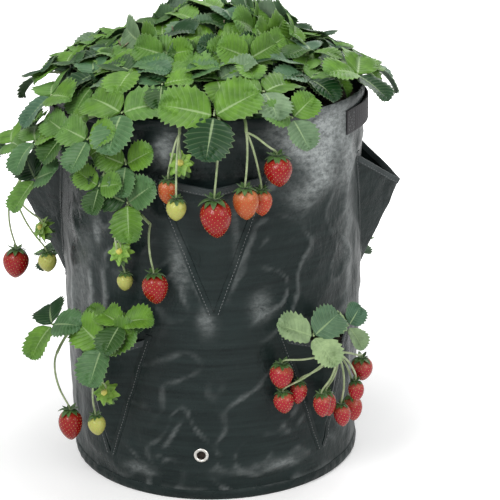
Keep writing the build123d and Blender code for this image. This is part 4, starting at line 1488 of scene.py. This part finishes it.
@dataclass
class Soil:
    """The soil in the sack and the pockets, with loose crumbs on top."""

    finishes: Finishes
    crumbs: int = 420
    seed: int = 5

    def surface(self, radius: float) -> float:
        """Height of the soil's top at a distance from the axis."""
        edge = wall_radius(SOIL_EDGE) - FABRIC
        return SOIL_EDGE + SOIL_CROWN * (1.0 - (radius / edge) ** 2)

    def build(self) -> None:
        """Dress the packed soil and scatter crumbs on it."""
        dress_node("soil_core", self.finishes.soil)
        dress_node("pocket_soil", self.finishes.soil)
        chance = Random(self.seed)
        places = []
        for _ in range(self.crumbs):
            radius, angle = 0.163 * math.sqrt(chance.random()), chance.uniform(0.0, 360.0)
            size = chance.uniform(2.5, 7.0) * MM
            spot = polar(radius, angle, self.surface(radius) + 0.1 * size)
            turn = Matrix.Rotation(chance.uniform(0, 6.3), 4, "Z") @ Matrix.Rotation(chance.uniform(0, 6.3), 4, "X")
            places.append(Matrix.Translation(spot) @ turn @ Matrix.Diagonal((size, size * 0.8, size * 0.6, 1.0)))
        for pocket in POCKETS:
            if pocket.planted:
                fill = (pocket.mouth - pocket.drop - 8) * MM
                for _ in range(14):
                    spot = polar(wall_radius(fill) + chance.uniform(2, 0.4 * pocket.reach) * MM,
                                 pocket.angle + chance.uniform(-4.0, 4.0), fill + 0.6 * MM)
                    size = chance.uniform(1.4, 2.6) * MM
                    places.append(Matrix.Translation(spot) @ Matrix.Diagonal((size, size, size * 0.7, 1.0)))
        deselect()
        bpy.ops.mesh.primitive_uv_sphere_add(segments=8, ring_count=6, radius=1.0)
        model = bpy.context.object
        points = read_points(model)
        bumps = np.array([1.0 + 0.45 * noise.noise(Vector(p) * 1.7) for p in points])
        write_points(model, points * bumps[:, None])
        crumbs = repeat("soil_crumbs", model, places)
        place_on(crumbs, "bag", [self.finishes.soil])


@dataclass
class Foliage:
    """Leaves, stalks and crowns of the plants."""

    finishes: Finishes
    seed: int = 11
    length: float = 53 * MM
    width: float = 52 * MM
    spread: float = 104.0
    veins: int = 10
    columns: int = 10
    thickness: float = 0.45 * MM
    stalk: float = 1.6 * MM
    stalk_rise: float = 16 * MM

    def __post_init__(self) -> None:
        """Make the flat leaflet that every leaflet is copied from."""
        self.model = lay_sheet("leaflet_model", self.columns, 2 * self.veins, lambda u, v: np.stack(
            [u, v, np.zeros(len(u))], axis=1))
        shares = read_points(self.model)
        self.side = 2.0 * shares[:, 0] - 1.0
        self.rise = shares[:, 1]
        self.chance = Random(self.seed)

    def leaflet(self, size: float, fold: float, curl: float, wave: float) -> Points:
        """The places of one leaflet, lying along Y with its upper side up.

        Args:
            size: Its size against the largest leaflet.
            fold: How steeply its halves rise from the midrib.
            curl: How far it bends down along its length, in radians.
            wave: Shift of the waves in its edge.

        Returns:
            A place for each vertex.
        """
        length, width = self.length * size, self.width * size
        way = np.abs(self.side)
        turn = self.rise ** 0.6
        edge_x = width / 2 * np.sin(np.pi * turn) ** 0.85 * (0.80 + 0.32 * turn)
        edge_y = length * (1.0 - np.cos(np.pi * turn)) / 2
        rib_y = length * self.rise
        tooth = -np.cos(2.0 * np.pi * self.rise * self.veins)
        bite = 1.0 + 0.085 * tooth * smooth(turn, 0.22, 0.45) * way ** 4
        x = np.sign(self.side) * way * edge_x * bite
        y = rib_y + (way ** 1.25 * bite) * (edge_y - rib_y)
        quilt = 1.3 * MM * size * -tooth * np.sin(np.pi * np.clip(way, 0.0, 0.93)) * smooth(self.rise, 0.02, 0.2)
        groove = -1.1 * MM * size * np.exp(-(way / 0.13) ** 2)
        raised = fold * (np.sqrt(x ** 2 + (3 * MM) ** 2) - 3 * MM)
        lip = -0.16 * width * way ** 3 * fold
        ripple = 1.8 * MM * size * way ** 2 * np.sin(9.0 * self.rise + wave + self.side)
        z = quilt + groove + raised + lip + ripple
        bend = curl * y / length
        radius = length / max(abs(curl), 1e-3) * (1.0 if curl >= 0 else -1.0)
        return np.stack([x, (radius + z) * np.sin(bend), (radius + z) * np.cos(bend) - radius], axis=1)

    def leaf(self, leaf: Leaf, loose: bool = False) -> tuple[list[Piece], Points]:
        """Three leaflets round a hub, on a plane that droops outwards.

        Args:
            leaf: The leaf's place and looks.
            loose: Whether its leaflets hang and stand more freely.

        Returns:
            The leaflets, and the hub's place.
        """
        hub = polar(leaf.radius * MM, leaf.angle, leaf.height * MM)
        droop = math.radians(leaf.droop)
        out = Vector(polar(1.0, leaf.angle, 0.0))
        along = out * math.cos(droop) - Vector((0, 0, math.sin(droop)))
        normal = out * math.sin(droop) + Vector((0, 0, math.cos(droop)))
        across = along.cross(normal)
        plane = Matrix((across, along, normal)).transposed().to_4x4()
        made = []
        for tint, turn in zip(leaf.tints_and_light, (-self.spread, 0.0, self.spread)):
            chance = self.chance
            lift = chance.uniform(8.0, 34.0 if loose else 22.0) if turn else chance.uniform(-24.0 if loose else 1.0, 7.0)
            hanging = leaf.droop >= 40.0 and not loose
            curl = chance.uniform(0.05, 0.25) if hanging else chance.uniform(0.25, 0.85)
            points = self.leaflet(leaf.size * chance.uniform(0.94, 1.06), chance.uniform(0.25, 0.55),
                                  curl, chance.uniform(0.0, 6.28))
            place = (Matrix.Translation(hub) @ plane
                     @ Matrix.Rotation(math.radians(1.08 * turn + chance.uniform(-13.0, 13.0)), 4, "Z")
                     @ Matrix.Rotation(math.radians(lift), 4, "X") @ Matrix.Translation((0, 2.5 * MM, 0)))
            copy = bpy.data.objects.new("leaflet", self.model.data.copy())
            bpy.context.scene.collection.objects.link(copy)
            write_points(copy, points @ np.array(place.to_3x3()).T + np.array(place.translation))
            # The leaflet's green, which stands partly for how light falls on it.
            paint(copy, "tint", min(1.0, max(0.0, tint.value + chance.uniform(-0.12, 0.12))))
            made.append(copy)
        return made, hub

    def understory(self, plant: Plant) -> list[Leaf]:
        """Smaller leaves that fill a plant out below its named ones."""
        chance = self.chance
        fill = []
        if plant.name.startswith("plant_top"):
            for _ in range(10):
                spread = 27.0 if plant.radius else 180.0
                outer = 26 if "front" in plant.name else 46
                radius = (plant.radius or 34) + chance.uniform(-34, outer if plant.radius else 34)
                angle = plant.angle + chance.uniform(-spread, spread)
                dome = 500 - 56 * (radius / 175) ** 2
                inside = radius < 112
                upright = chance.random() < 0.5 and inside
                sunk = chance.uniform(4, 34) if inside else chance.uniform(-6, 4)
                height = dome + (chance.uniform(0, 9) if upright else -sunk)
                droop = chance.uniform(50, 78) if upright else chance.uniform(8, 42 if inside else 22)
                fill.append(Leaf(angle, radius, height, droop, chance.uniform(0.6, 0.84),
                                 chance.choice((DBG, BDB, DDB, GGB, BGB))))
        elif plant.name != "plant_lower_front_right":
            pocket = next(p for p in POCKETS if p.name == plant.name.removeprefix("plant_"))
            for _ in range(3):
                fill.append(Leaf(plant.angle + chance.uniform(-13, 13), 182 + pocket.reach * chance.uniform(0.1, 0.5),
                                 pocket.mouth + chance.uniform(8, 30), chance.uniform(20.0, 55.0),
                                 chance.uniform(0.45, 0.6), chance.choice((DBG, BDB, BGB))))
        return fill

    def build(self, plant: Plant, root: Points, body: str, shoots: Sequence[Shoot] = (),
              extra: Sequence[tuple[Leaf, Points]] = ()) -> None:
        """Make a plant's leaves and stalks.

        Args:
            plant: The plant.
            root: Where its stalks spring from.
            body: The body that it moves with.
            shoots: Stalks besides those of the leaves.
            extra: Leaves that spring from another place, with that place.
        """
        name = plant.name.removeprefix("plant_")
        sprung = [(leaf, root) for leaf in (*plant.leaves, *self.understory(plant))] + list(extra)
        leaflets, stalks = [], list(shoots)
        for leaf, start in sprung:
            made, hub = self.leaf(leaf, loose=start is root and leaf not in plant.leaves)
            leaflets += made
            knee = start + (hub - start) * 0.55 + np.array([0, 0, self.stalk_rise])
            under = hub - polar(6 * MM, leaf.angle, 0.0) - np.array([0, 0, 2 * MM])
            stalks.append(Shoot((start, knee, under, hub + np.array([0, 0, 0.5 * MM])), self.stalk, 1.1 * MM))
        blades = join(f"leaves_{name}", leaflets)
        blades.data.materials.clear()
        blades.data.materials.append(self.finishes.leaf_top)
        blades.data.materials.append(self.finishes.leaf_under)
        finish_modifier(blades, "SOLIDIFY", thickness=self.thickness, offset=-1.0, material_offset=1)
        soften(blades, 75.0)
        place_on(blades, body, [self.finishes.leaf_top, self.finishes.leaf_under], [plant.name])
        stems = grow(f"stalks_{name}", stalks)
        place_on(stems, body, [self.finishes.stalk])


def stand_off(angle: float, height: float) -> float:
    """How far the nearest pocket stands out of the wall, in millimetres.

    Args:
        angle: Degrees round the bag.
        height: Height in millimetres.

    Returns:
        The largest stand-off there.
    """
    most = 0.0
    tall = POCKET_HEIGHT / MM
    for pocket in POCKETS:
        foot = pocket.mouth - tall
        aside = abs((angle - pocket.angle + 180.0) % 360.0 - 180.0)
        rise = (height - foot) / (pocket.mouth - pocket.drop - foot)
        half = POCKET_HALF_ANGLE * (height - foot) / tall
        if foot < height < pocket.mouth and aside < half:
            most = max(most, pocket.reach * min(rise, 1.0) * (1.0 - aside / half))
    return most


def hang_point(item: Berry) -> Points:
    """Where the top of a berry or rosette hangs, clear of the wall and of any pocket."""
    steps = [item.top - item.length * k / 4 for k in range(5)]
    stand = max(stand_off(item.angle + aside, height) for height in steps for aside in (-4, 0, 4))
    radius = wall_radius(item.top * MM) + (stand + item.radius + 3.0 + item.layer) * MM
    return polar(radius, item.angle, item.top * MM)


@dataclass
class Fruit:
    """The hanging trusses: stems, caps, rosettes and berries."""

    finishes: Finishes
    seed: int = 23
    stem: float = 1.3 * MM
    around: int = 56
    rings: int = 42

    def __post_init__(self) -> None:
        """Start the seeded chances that vary the berries."""
        self.chance = Random(self.seed)

    def pivot(self, truss: Truss) -> Points:
        """The knuckle that a truss hangs from."""
        height = truss.height * MM
        return polar(wall_radius(height) + truss.stand_off * MM, truss.angle, height)

    def build(self) -> None:
        """Make every truss."""
        for truss in TRUSSES:
            body = f"truss_{truss.name}"
            self.berries(truss, body)
            self.stems(truss, body)

    @staticmethod
    def profile(share: Points) -> Points:
        """A berry's radius against its widest, down its length."""
        return np.clip(1.0 - share, 0, 1) ** 0.68 * np.clip(share, 0, 1) ** 0.42 / 0.4806

    def berry(self, item: Berry) -> tuple[Piece, list[Matrix]]:
        """One berry with a pit for each seed.

        Args:
            item: The berry.

        Returns:
            The berry, and the places of its seeds.
        """
        chance = self.chance
        deselect()
        bpy.ops.mesh.primitive_uv_sphere_add(segments=self.around, ring_count=self.rings, radius=1.0)
        piece = bpy.context.object
        ball = read_points(piece)
        radius, length = item.radius * MM * 0.97, item.length * MM * 0.985
        count = int(26 + 2.6 * item.radius * item.length / 10)
        golden = math.pi * (3.0 - math.sqrt(5.0))
        share = 0.10 + 0.86 * ((np.arange(count) + 0.5) / count) ** 0.92
        spin = golden * np.arange(count)
        heart = np.stack([radius * self.profile(share) * np.cos(spin), radius * self.profile(share) * np.sin(spin),
                          -length * share], axis=1)
        down = (1.0 - ball[:, 2]) / 2
        flat = np.hypot(ball[:, 0], ball[:, 1])
        turn = np.arctan2(ball[:, 1], ball[:, 0])
        shape = radius * self.profile(down)
        shape = np.where(flat < 1e-6, 0.0, shape)
        points = np.stack([shape * np.cos(turn), shape * np.sin(turn), -length * down], axis=1)
        inward = points - np.array([0, 0, -0.42 * length])
        inward /= np.maximum(np.linalg.norm(inward, axis=1), 1e-9)[:, None]
        gap = np.linalg.norm(points[:, None, :] - heart[None, :, :], axis=2).min(axis=1)
        pit = 0.55 * MM * np.exp(-(gap / (1.15 * MM)) ** 2)
        points -= inward * pit[:, None]
        lean = Matrix.Rotation(math.radians(chance.uniform(-7, 7)), 3, "X") @ Matrix.Rotation(
            math.radians(chance.uniform(-7, 7)), 3, "Y")
        swell = chance.uniform(-0.05, 0.05)
        squeeze = np.array([1.0 + swell, 1.0 - swell, 1.0])
        top = hang_point(item)
        paint(piece, "ripeness", min(1.0, max(0.0, item.ripeness.value + chance.uniform(-0.05, 0.05))))
        paint(piece, "depth", down)
        write_points(piece, (points * squeeze) @ np.array(lean).T + top)
        seeds = []
        for spot in heart:
            away = Vector(spot) - Vector((0, 0, -0.42 * length))
            face = away.to_track_quat("Z", "Y").to_matrix().to_4x4()
            sunk = Vector(spot) - away.normalized() * 0.32 * MM
            seeds.append(Matrix.Translation(top) @ lean.to_4x4() @ Matrix.Diagonal((*squeeze, 1.0))
                         @ Matrix.Translation(sunk) @ face)
        return piece, seeds

    def berries(self, truss: Truss, body: str) -> None:
        """The berries of a truss and their seeds."""
        made, seeds = [], []
        for item in truss.berries:
            piece, places = self.berry(item)
            made.append(piece)
            seeds += places
        whole = join(f"berry_flesh_{truss.name}", made)
        soften(whole, 80.0)
        place_on(whole, body, [self.finishes.skin], [f"berries_{truss.name}"])
        deselect()
        bpy.ops.mesh.primitive_uv_sphere_add(segments=6, ring_count=5, radius=1.0)
        model = bpy.context.object
        points = read_points(model)
        points[:, 1] *= 1.0 + 0.25 * np.sign(points[:, 1])
        write_points(model, points * [0.42 * MM, 0.62 * MM, 0.30 * MM])
        grains = repeat(f"berry_seeds_{truss.name}", model, seeds)
        soften(grains, 80.0)
        place_on(grains, body, [self.finishes.seed])

    def sepal(self, length: float, width: float, curl: float, lobes: int = 0) -> Callable[[Points, Points], Points]:
        """A pointed cap leaf that lies along Y.

        Args:
            length: Its length.
            width: Its width.
            curl: How far it bends down, in radians.
            lobes: Teeth on each side.

        Returns:
            The surface that a sheet is laid over.
        """
        def place(across: Points, along: Points) -> Points:
            side = 2.0 * across - 1.0
            wide = np.sin(np.pi * np.clip(0.12 + 0.88 * along, 0, 1)) ** 0.8
            if lobes:
                wide = wide * (1.0 + 0.22 * np.cos(2 * np.pi * along * lobes) * np.abs(side))
            x = side * width / 2 * wide
            bend = curl * along
            scale = length / (curl if abs(curl) > 1e-3 else 1e-3)
            cup = 0.25 * np.abs(x)
            return np.stack([x, scale * np.sin(bend), scale * (np.cos(bend) - 1.0) + cup], axis=1)

        return place

    def whorl(self, centre: Points, normal: Vector, count: int, length: float, width: float, curl: float,
              lift: float, lobes: int = 0, spin: float = 0.0) -> list[Piece]:
        """A ring of cap leaves round a point.

        Args:
            centre: The ring's middle.
            normal: The direction that it faces.
            count: How many leaves.
            length: Their length.
            width: Their width.
            curl: How far each bends back.
            lift: How steeply each starts upwards, in degrees.
            lobes: Teeth on each side of a leaf.
            spin: Turn of the ring, in degrees.

        Returns:
            The leaves.
        """
        made = []
        face = normal.to_track_quat("Z", "Y").to_matrix().to_4x4()
        for k in range(count):
            chance = self.chance
            size = chance.uniform(0.85, 1.12)
            leaf = lay_sheet("sepal", 4, 8 if lobes else 6,
                             self.sepal(length * size, width * size, curl * chance.uniform(0.75, 1.2), lobes))
            turn = math.radians(spin + 360.0 * k / count + chance.uniform(-7.0, 7.0))
            place = (Matrix.Translation(centre) @ face @ Matrix.Rotation(turn, 4, "Z")
                     @ Matrix.Rotation(math.radians(lift + chance.uniform(-6, 6)), 4, "X"))
            leaf.data.transform(place)
            made.append(leaf)
        return made

    def stems(self, truss: Truss, body: str) -> None:
        """The stems, caps and rosettes of a truss."""
        pivot = self.pivot(truss)
        shoots, caps, stars, hearts = [], [], [], []
        up = Vector((0, 0, 1))
        for item in truss.berries + truss.rosettes:
            top = hang_point(item)
            rosette = item in truss.rosettes
            end = top + np.array([0, 0, (6 if rosette else 1.5) * MM])
            run = end - pivot
            out = polar(1.0, item.angle, 0.0)
            bow = min(9 * MM, 0.25 * float(np.linalg.norm(run)))
            first = pivot + run * 0.2 + out * bow + np.array([0, 0, 0.5 * bow])
            second = pivot + run * 0.7 + out * bow
            shoots.append(Shoot((pivot, first, second, end + np.array([0, 0, 6 * MM]), end), self.stem, 1.0 * MM))
            if rosette:
                front = (Vector(out) * 0.8 + up * 0.6).normalized()
                heart = top + np.array(front) * 3 * MM
                width = item.radius * MM
                stars += self.whorl(heart, front, 7, width, 0.62 * width, 0.35, 14.0, 2)
                stars += self.whorl(heart - np.array(front) * 1.5 * MM, front, 7, 1.08 * width, 0.6 * width,
                                    0.7, -4.0, 2, 25.0)
                caps += self.whorl(heart - np.array(front) * 3 * MM - np.array([0, 0, 4 * MM]), front, 8,
                                   0.95 * width, 0.45 * width, 1.0, -20.0, 2, 10.0)
                deselect()
                bpy.ops.mesh.primitive_ico_sphere_add(subdivisions=3, radius=3.6 * MM)
                core = bpy.context.object
                points = read_points(core)
                bumps = np.array([1.0 + 0.25 * noise.noise(Vector(p) * 900.0) for p in points])
                write_points(core, points * bumps[:, None] + heart + np.array(front) * 1.2 * MM)
                hearts.append(core)
            else:
                wide = item.radius * MM
                caps += self.whorl(top + np.array([0, 0, 0.8 * MM]), up, 8, 1.02 * wide, 0.42 * wide, 1.15, 12.0)
                caps += self.whorl(top + np.array([0, 0, 1.2 * MM]), up, 6, 0.72 * wide, 0.3 * wide, -0.5, 14.0,
                                   0, 20.0)
        stems = grow(f"fruit_stems_{truss.name}", shoots)
        place_on(stems, body, [self.finishes.fruit_stem], [f"stems_{truss.name}"])
        self.greens(f"berry_caps_{truss.name}", caps, body, self.finishes.cap)
        if stars:
            self.greens(f"rosettes_{truss.name}", stars, body, self.finishes.rosette)
            heart_piece = join(f"rosette_hearts_{truss.name}", hearts)
            soften(heart_piece, 80.0)
            place_on(heart_piece, body, [self.finishes.heart])

    def greens(self, name: str, leaves: list[Piece], body: str, finish: bpy.types.Material) -> None:
        """Join cap leaves, thicken them and hang them on a truss."""
        whole = join(name, leaves)
        finish_modifier(whole, "SOLIDIFY", thickness=0.35 * MM, offset=-1.0)
        soften(whole, 60.0)
        place_on(whole, body, [finish])


@dataclass
class Garden:
    """All the plants, with the fixed stalks that carry the trusses."""

    finishes: Finishes
    foliage: Foliage
    fruit: Fruit
    soil: Soil

    def knuckle(self, truss: Truss, way: Sequence[Points]) -> Shoot:
        """A fixed stalk that ends in a truss's knuckle."""
        return Shoot((*way, self.fruit.pivot(truss)), 1.4 * MM, 1.7 * MM)

    def build(self) -> None:
        """Make the plants in the top of the bag and in the pockets."""
        for plant in TOP_PLANTS:
            base = self.soil.surface(max(0.0, plant.radius - 9) * MM)
            root = polar(plant.radius * MM, plant.angle, base + 12 * MM)
            shoots = self.crown(root)
            extra = []
            if plant.name == "plant_top_front_left":
                more, extra = self.trailing(root)
                shoots += more
            else:
                for truss in TRUSSES:
                    if truss.plant == plant.name:
                        rim = wall_radius(BAG_HEIGHT)
                        inner = polar(rim - 14 * MM, truss.angle, BAG_HEIGHT + 8 * MM)
                        crest = polar(rim + 12 * MM, truss.angle, BAG_HEIGHT + 14 * MM)
                        shoots.append(self.knuckle(truss, (root, inner, crest)))
            self.foliage.build(plant, root, "bag", shoots, extra)
        for plant in POCKET_PLANTS:
            pocket = next(p for p in POCKETS if p.name == plant.name.removeprefix("plant_"))
            fill = (pocket.mouth - pocket.drop - 8) * MM
            root = polar(wall_radius(fill) + plant.radius * MM, plant.angle, pocket.mouth * MM + 6 * MM)
            foot = np.array([root[0], root[1], fill])
            shoots = [Shoot((foot, (foot + root) / 2, root), 3.6 * MM, 2.6 * MM)]
            for truss in TRUSSES:
                if truss.plant == plant.name:
                    height = truss.height * MM
                    over = polar(wall_radius(height) + truss.stand_off * MM / 2, truss.angle, height + 42 * MM)
                    shoots.append(self.knuckle(truss, (root, over)))
            self.foliage.build(plant, root, "bag", shoots)
        self.twigs()

    def crown(self, root: Points) -> list[Shoot]:
        """The short thick stems at the heart of a plant."""
        made = []
        for k in range(7):
            turn = 2 * math.pi * k / 7
            lean = np.array([math.cos(turn), math.sin(turn), 0.0]) * 7 * MM
            foot = root - np.array([0, 0, 16 * MM]) + lean * 0.6
            made.append(Shoot((foot, root - np.array([0, 0, 4 * MM]) + lean, root + lean * 0.4), 2.8 * MM, 2.0 * MM))
        return made

    def trailing(self, root: Points) -> tuple[list[Shoot], list[tuple[Leaf, Points]]]:
        """The shoot that grows over the rim and hangs down the wall."""
        angle = -31.0
        way = (root, polar(160 * MM, angle, 446 * MM), polar(188 * MM, angle, 446 * MM),
               polar(196 * MM, angle, 400 * MM), polar(190 * MM, -27.0, 352 * MM))
        shoots = [Shoot(way, 1.9 * MM, 1.5 * MM)]
        extra = [(leaf, way[k]) for leaf, k in zip(TRAILING_LEAVES, (3, 3, 4, 2, 2, 3))]
        for truss in TRUSSES:
            if truss.plant == "plant_top_front_left":
                shoots.append(self.knuckle(truss, (way[4], (way[4] + self.fruit.pivot(truss)) / 2)))
        return shoots, extra

    def twigs(self) -> None:
        """A few dry stalks that stand out of the leaves."""
        shoots = []
        for angle, radius, height, lean in ((-70.0, 90, 497, -14), (-40.0, 45, 512, -10), (25.0, 30, 516, 6),
                                            (78.0, 80, 500, 12), (150.0, 60, 510, 8), (215.0, 80, 500, -10)):
            foot = polar(radius * MM, angle, 440 * MM)
            tip = polar(radius * MM, angle, height * MM) + np.array([lean * MM, 0, 0])
            shoots.append(Shoot((foot, (foot + tip) / 2 + np.array([3 * MM, 0, 0]), tip), 1.5 * MM, 0.8 * MM))
            spur = tip - (tip - foot) * 0.18
            shoots.append(Shoot((spur, spur + np.array([-0.6 * lean * MM, 0, 7 * MM])), 0.9 * MM, 0.6 * MM))
        twigs = grow("dry_twigs", shoots)
        place_on(twigs, "bag", [self.finishes.twig])


@dataclass
class Studio:
    """The pale floor, the lamps and the camera."""

    eye: tuple[float, float, float] = (0.0, -1.8596, 0.8823)
    pitch: float = 19.12
    yaw: float = 1.356
    roll: float = -0.85
    lens: float = 120.8
    sky: float = 0.5

    def build(self) -> None:
        """Set up everything that isn't the bag."""
        self.camera()
        self.floor()
        self.lamps()
        self.world()
        bpy.context.scene.view_settings.view_transform = "Standard"

    def camera(self) -> None:
        """The camera at the photograph's viewing angle."""
        data = bpy.data.cameras.new("camera")
        data.lens = self.lens
        data.sensor_width = 36.0
        camera = bpy.data.objects.new("camera", data)
        bpy.context.scene.collection.objects.link(camera)
        pitch, yaw = math.radians(self.pitch), math.radians(self.yaw)
        ahead = Vector((math.sin(yaw) * math.cos(pitch), math.cos(yaw) * math.cos(pitch), -math.sin(pitch)))
        level = ahead.to_track_quat("-Z", "Y").to_matrix().to_4x4()
        camera.matrix_world = Matrix.Translation(self.eye) @ level @ Matrix.Rotation(
            math.radians(self.roll), 4, "Z")
        bpy.context.scene.camera = camera

    def floor(self) -> None:
        """A pale floor that keeps the bag's shadow."""
        deselect()
        bpy.ops.mesh.primitive_plane_add(size=12.0)
        floor = bpy.context.object
        floor.data.transform(Matrix.Translation((0, 0, -0.5 * MM)))
        floor.name = "studio_floor"
        board = Board("pale_floor")
        tone = board.speckle(board.place(), 3.0)
        board.set(Base_Color=board.ramp(tone, (0.0, (0.86, 0.86, 0.86)), (1.0, (0.90, 0.90, 0.90))),
                  Roughness=0.9, Specular_IOR_Level=0.1)
        seen = board.add("LightPath").outputs["Is Camera Ray"]
        away = board.add("VectorMath", {0: board.place()}, operation="LENGTH").outputs["Value"]
        level = board.ramp(away, (0.30, 0.22), (0.85, 1.0))
        glow = board.add("Emission", {"Color": (1.0, 1.0, 1.0), "Strength": board.math("MULTIPLY", seen, level)})
        total = board.add("AddShader", {0: board.shader.outputs[0], 1: glow.outputs[0]})
        output = next(node for node in board.tree.nodes if node.type == "OUTPUT_MATERIAL")
        board.tree.links.new(total.outputs[0], output.inputs["Surface"])
        floor.data.materials.append(board.material)

    def lamps(self) -> None:
        """Large soft lamps in front, to the left, to the right and behind."""
        for name, spot, size, power in (
                ("key_lamp", (-1.1, -1.7, 1.9), 1.1, 36.0), ("fill_lamp", (1.6, -1.5, 1.2), 1.2, 13.0),
                ("top_lamp", (0.1, 0.2, 2.2), 1.4, 16.0), ("back_lamp", (0.9, 1.6, 1.4), 1.2, 12.0)):
            data = bpy.data.lights.new(name, "AREA")
            data.energy = power
            data.size = size
            lamp = bpy.data.objects.new(name, data)
            lamp.location = spot
            lamp.rotation_mode = "QUATERNION"
            lamp.rotation_quaternion = (Vector((0, 0, 0.25)) - Vector(spot)).to_track_quat("-Z", "Y")
            bpy.context.scene.collection.objects.link(lamp)

    def world(self) -> None:
        """Even light from all round, white where the camera or a reflection sees it."""
        world = bpy.data.worlds.new("studio")
        bpy.context.scene.world = world
        world.use_nodes = True
        tree = world.node_tree
        sky = tree.nodes["Background"]
        path = tree.nodes.new("ShaderNodeLightPath")
        seen = tree.nodes.new("ShaderNodeMath")
        seen.operation = "ADD"
        tree.links.new(path.outputs["Is Camera Ray"], seen.inputs[0])
        tree.links.new(path.outputs["Is Glossy Ray"], seen.inputs[1])
        also = tree.nodes.new("ShaderNodeMath")
        also.operation = "ADD"
        also.use_clamp = True
        tree.links.new(seen.outputs[0], also.inputs[0])
        tree.links.new(path.outputs["Is Transmission Ray"], also.inputs[1])
        level = tree.nodes.new("ShaderNodeMapRange")
        tree.links.new(also.outputs[0], level.inputs["Value"])
        level.inputs["To Min"].default_value = self.sky
        level.inputs["To Max"].default_value = 1.0
        sky.inputs["Color"].default_value = (1.0, 1.0, 1.0, 1.0)
        tree.links.new(level.outputs[0], sky.inputs["Strength"])


def main() -> None:
    """Build every piece in order."""
    logging.basicConfig(level=logging.INFO, format="%(message)s")
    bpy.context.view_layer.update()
    Studio().build()
    finishes = Finishes()
    drape = Drape()
    BagBody(finishes, drape).build()
    Pockets(finishes, drape).build()
    Handles(finishes, drape).build()
    Eyelets(finishes).build()
    soil = Soil(finishes)
    soil.build()
    foliage = Foliage(finishes)
    fruit = Fruit(finishes)
    Garden(finishes, foliage, fruit, soil).build()
    fruit.build()
    bpy.data.objects.remove(foliage.model)


if __name__ == "__main__":
    main()
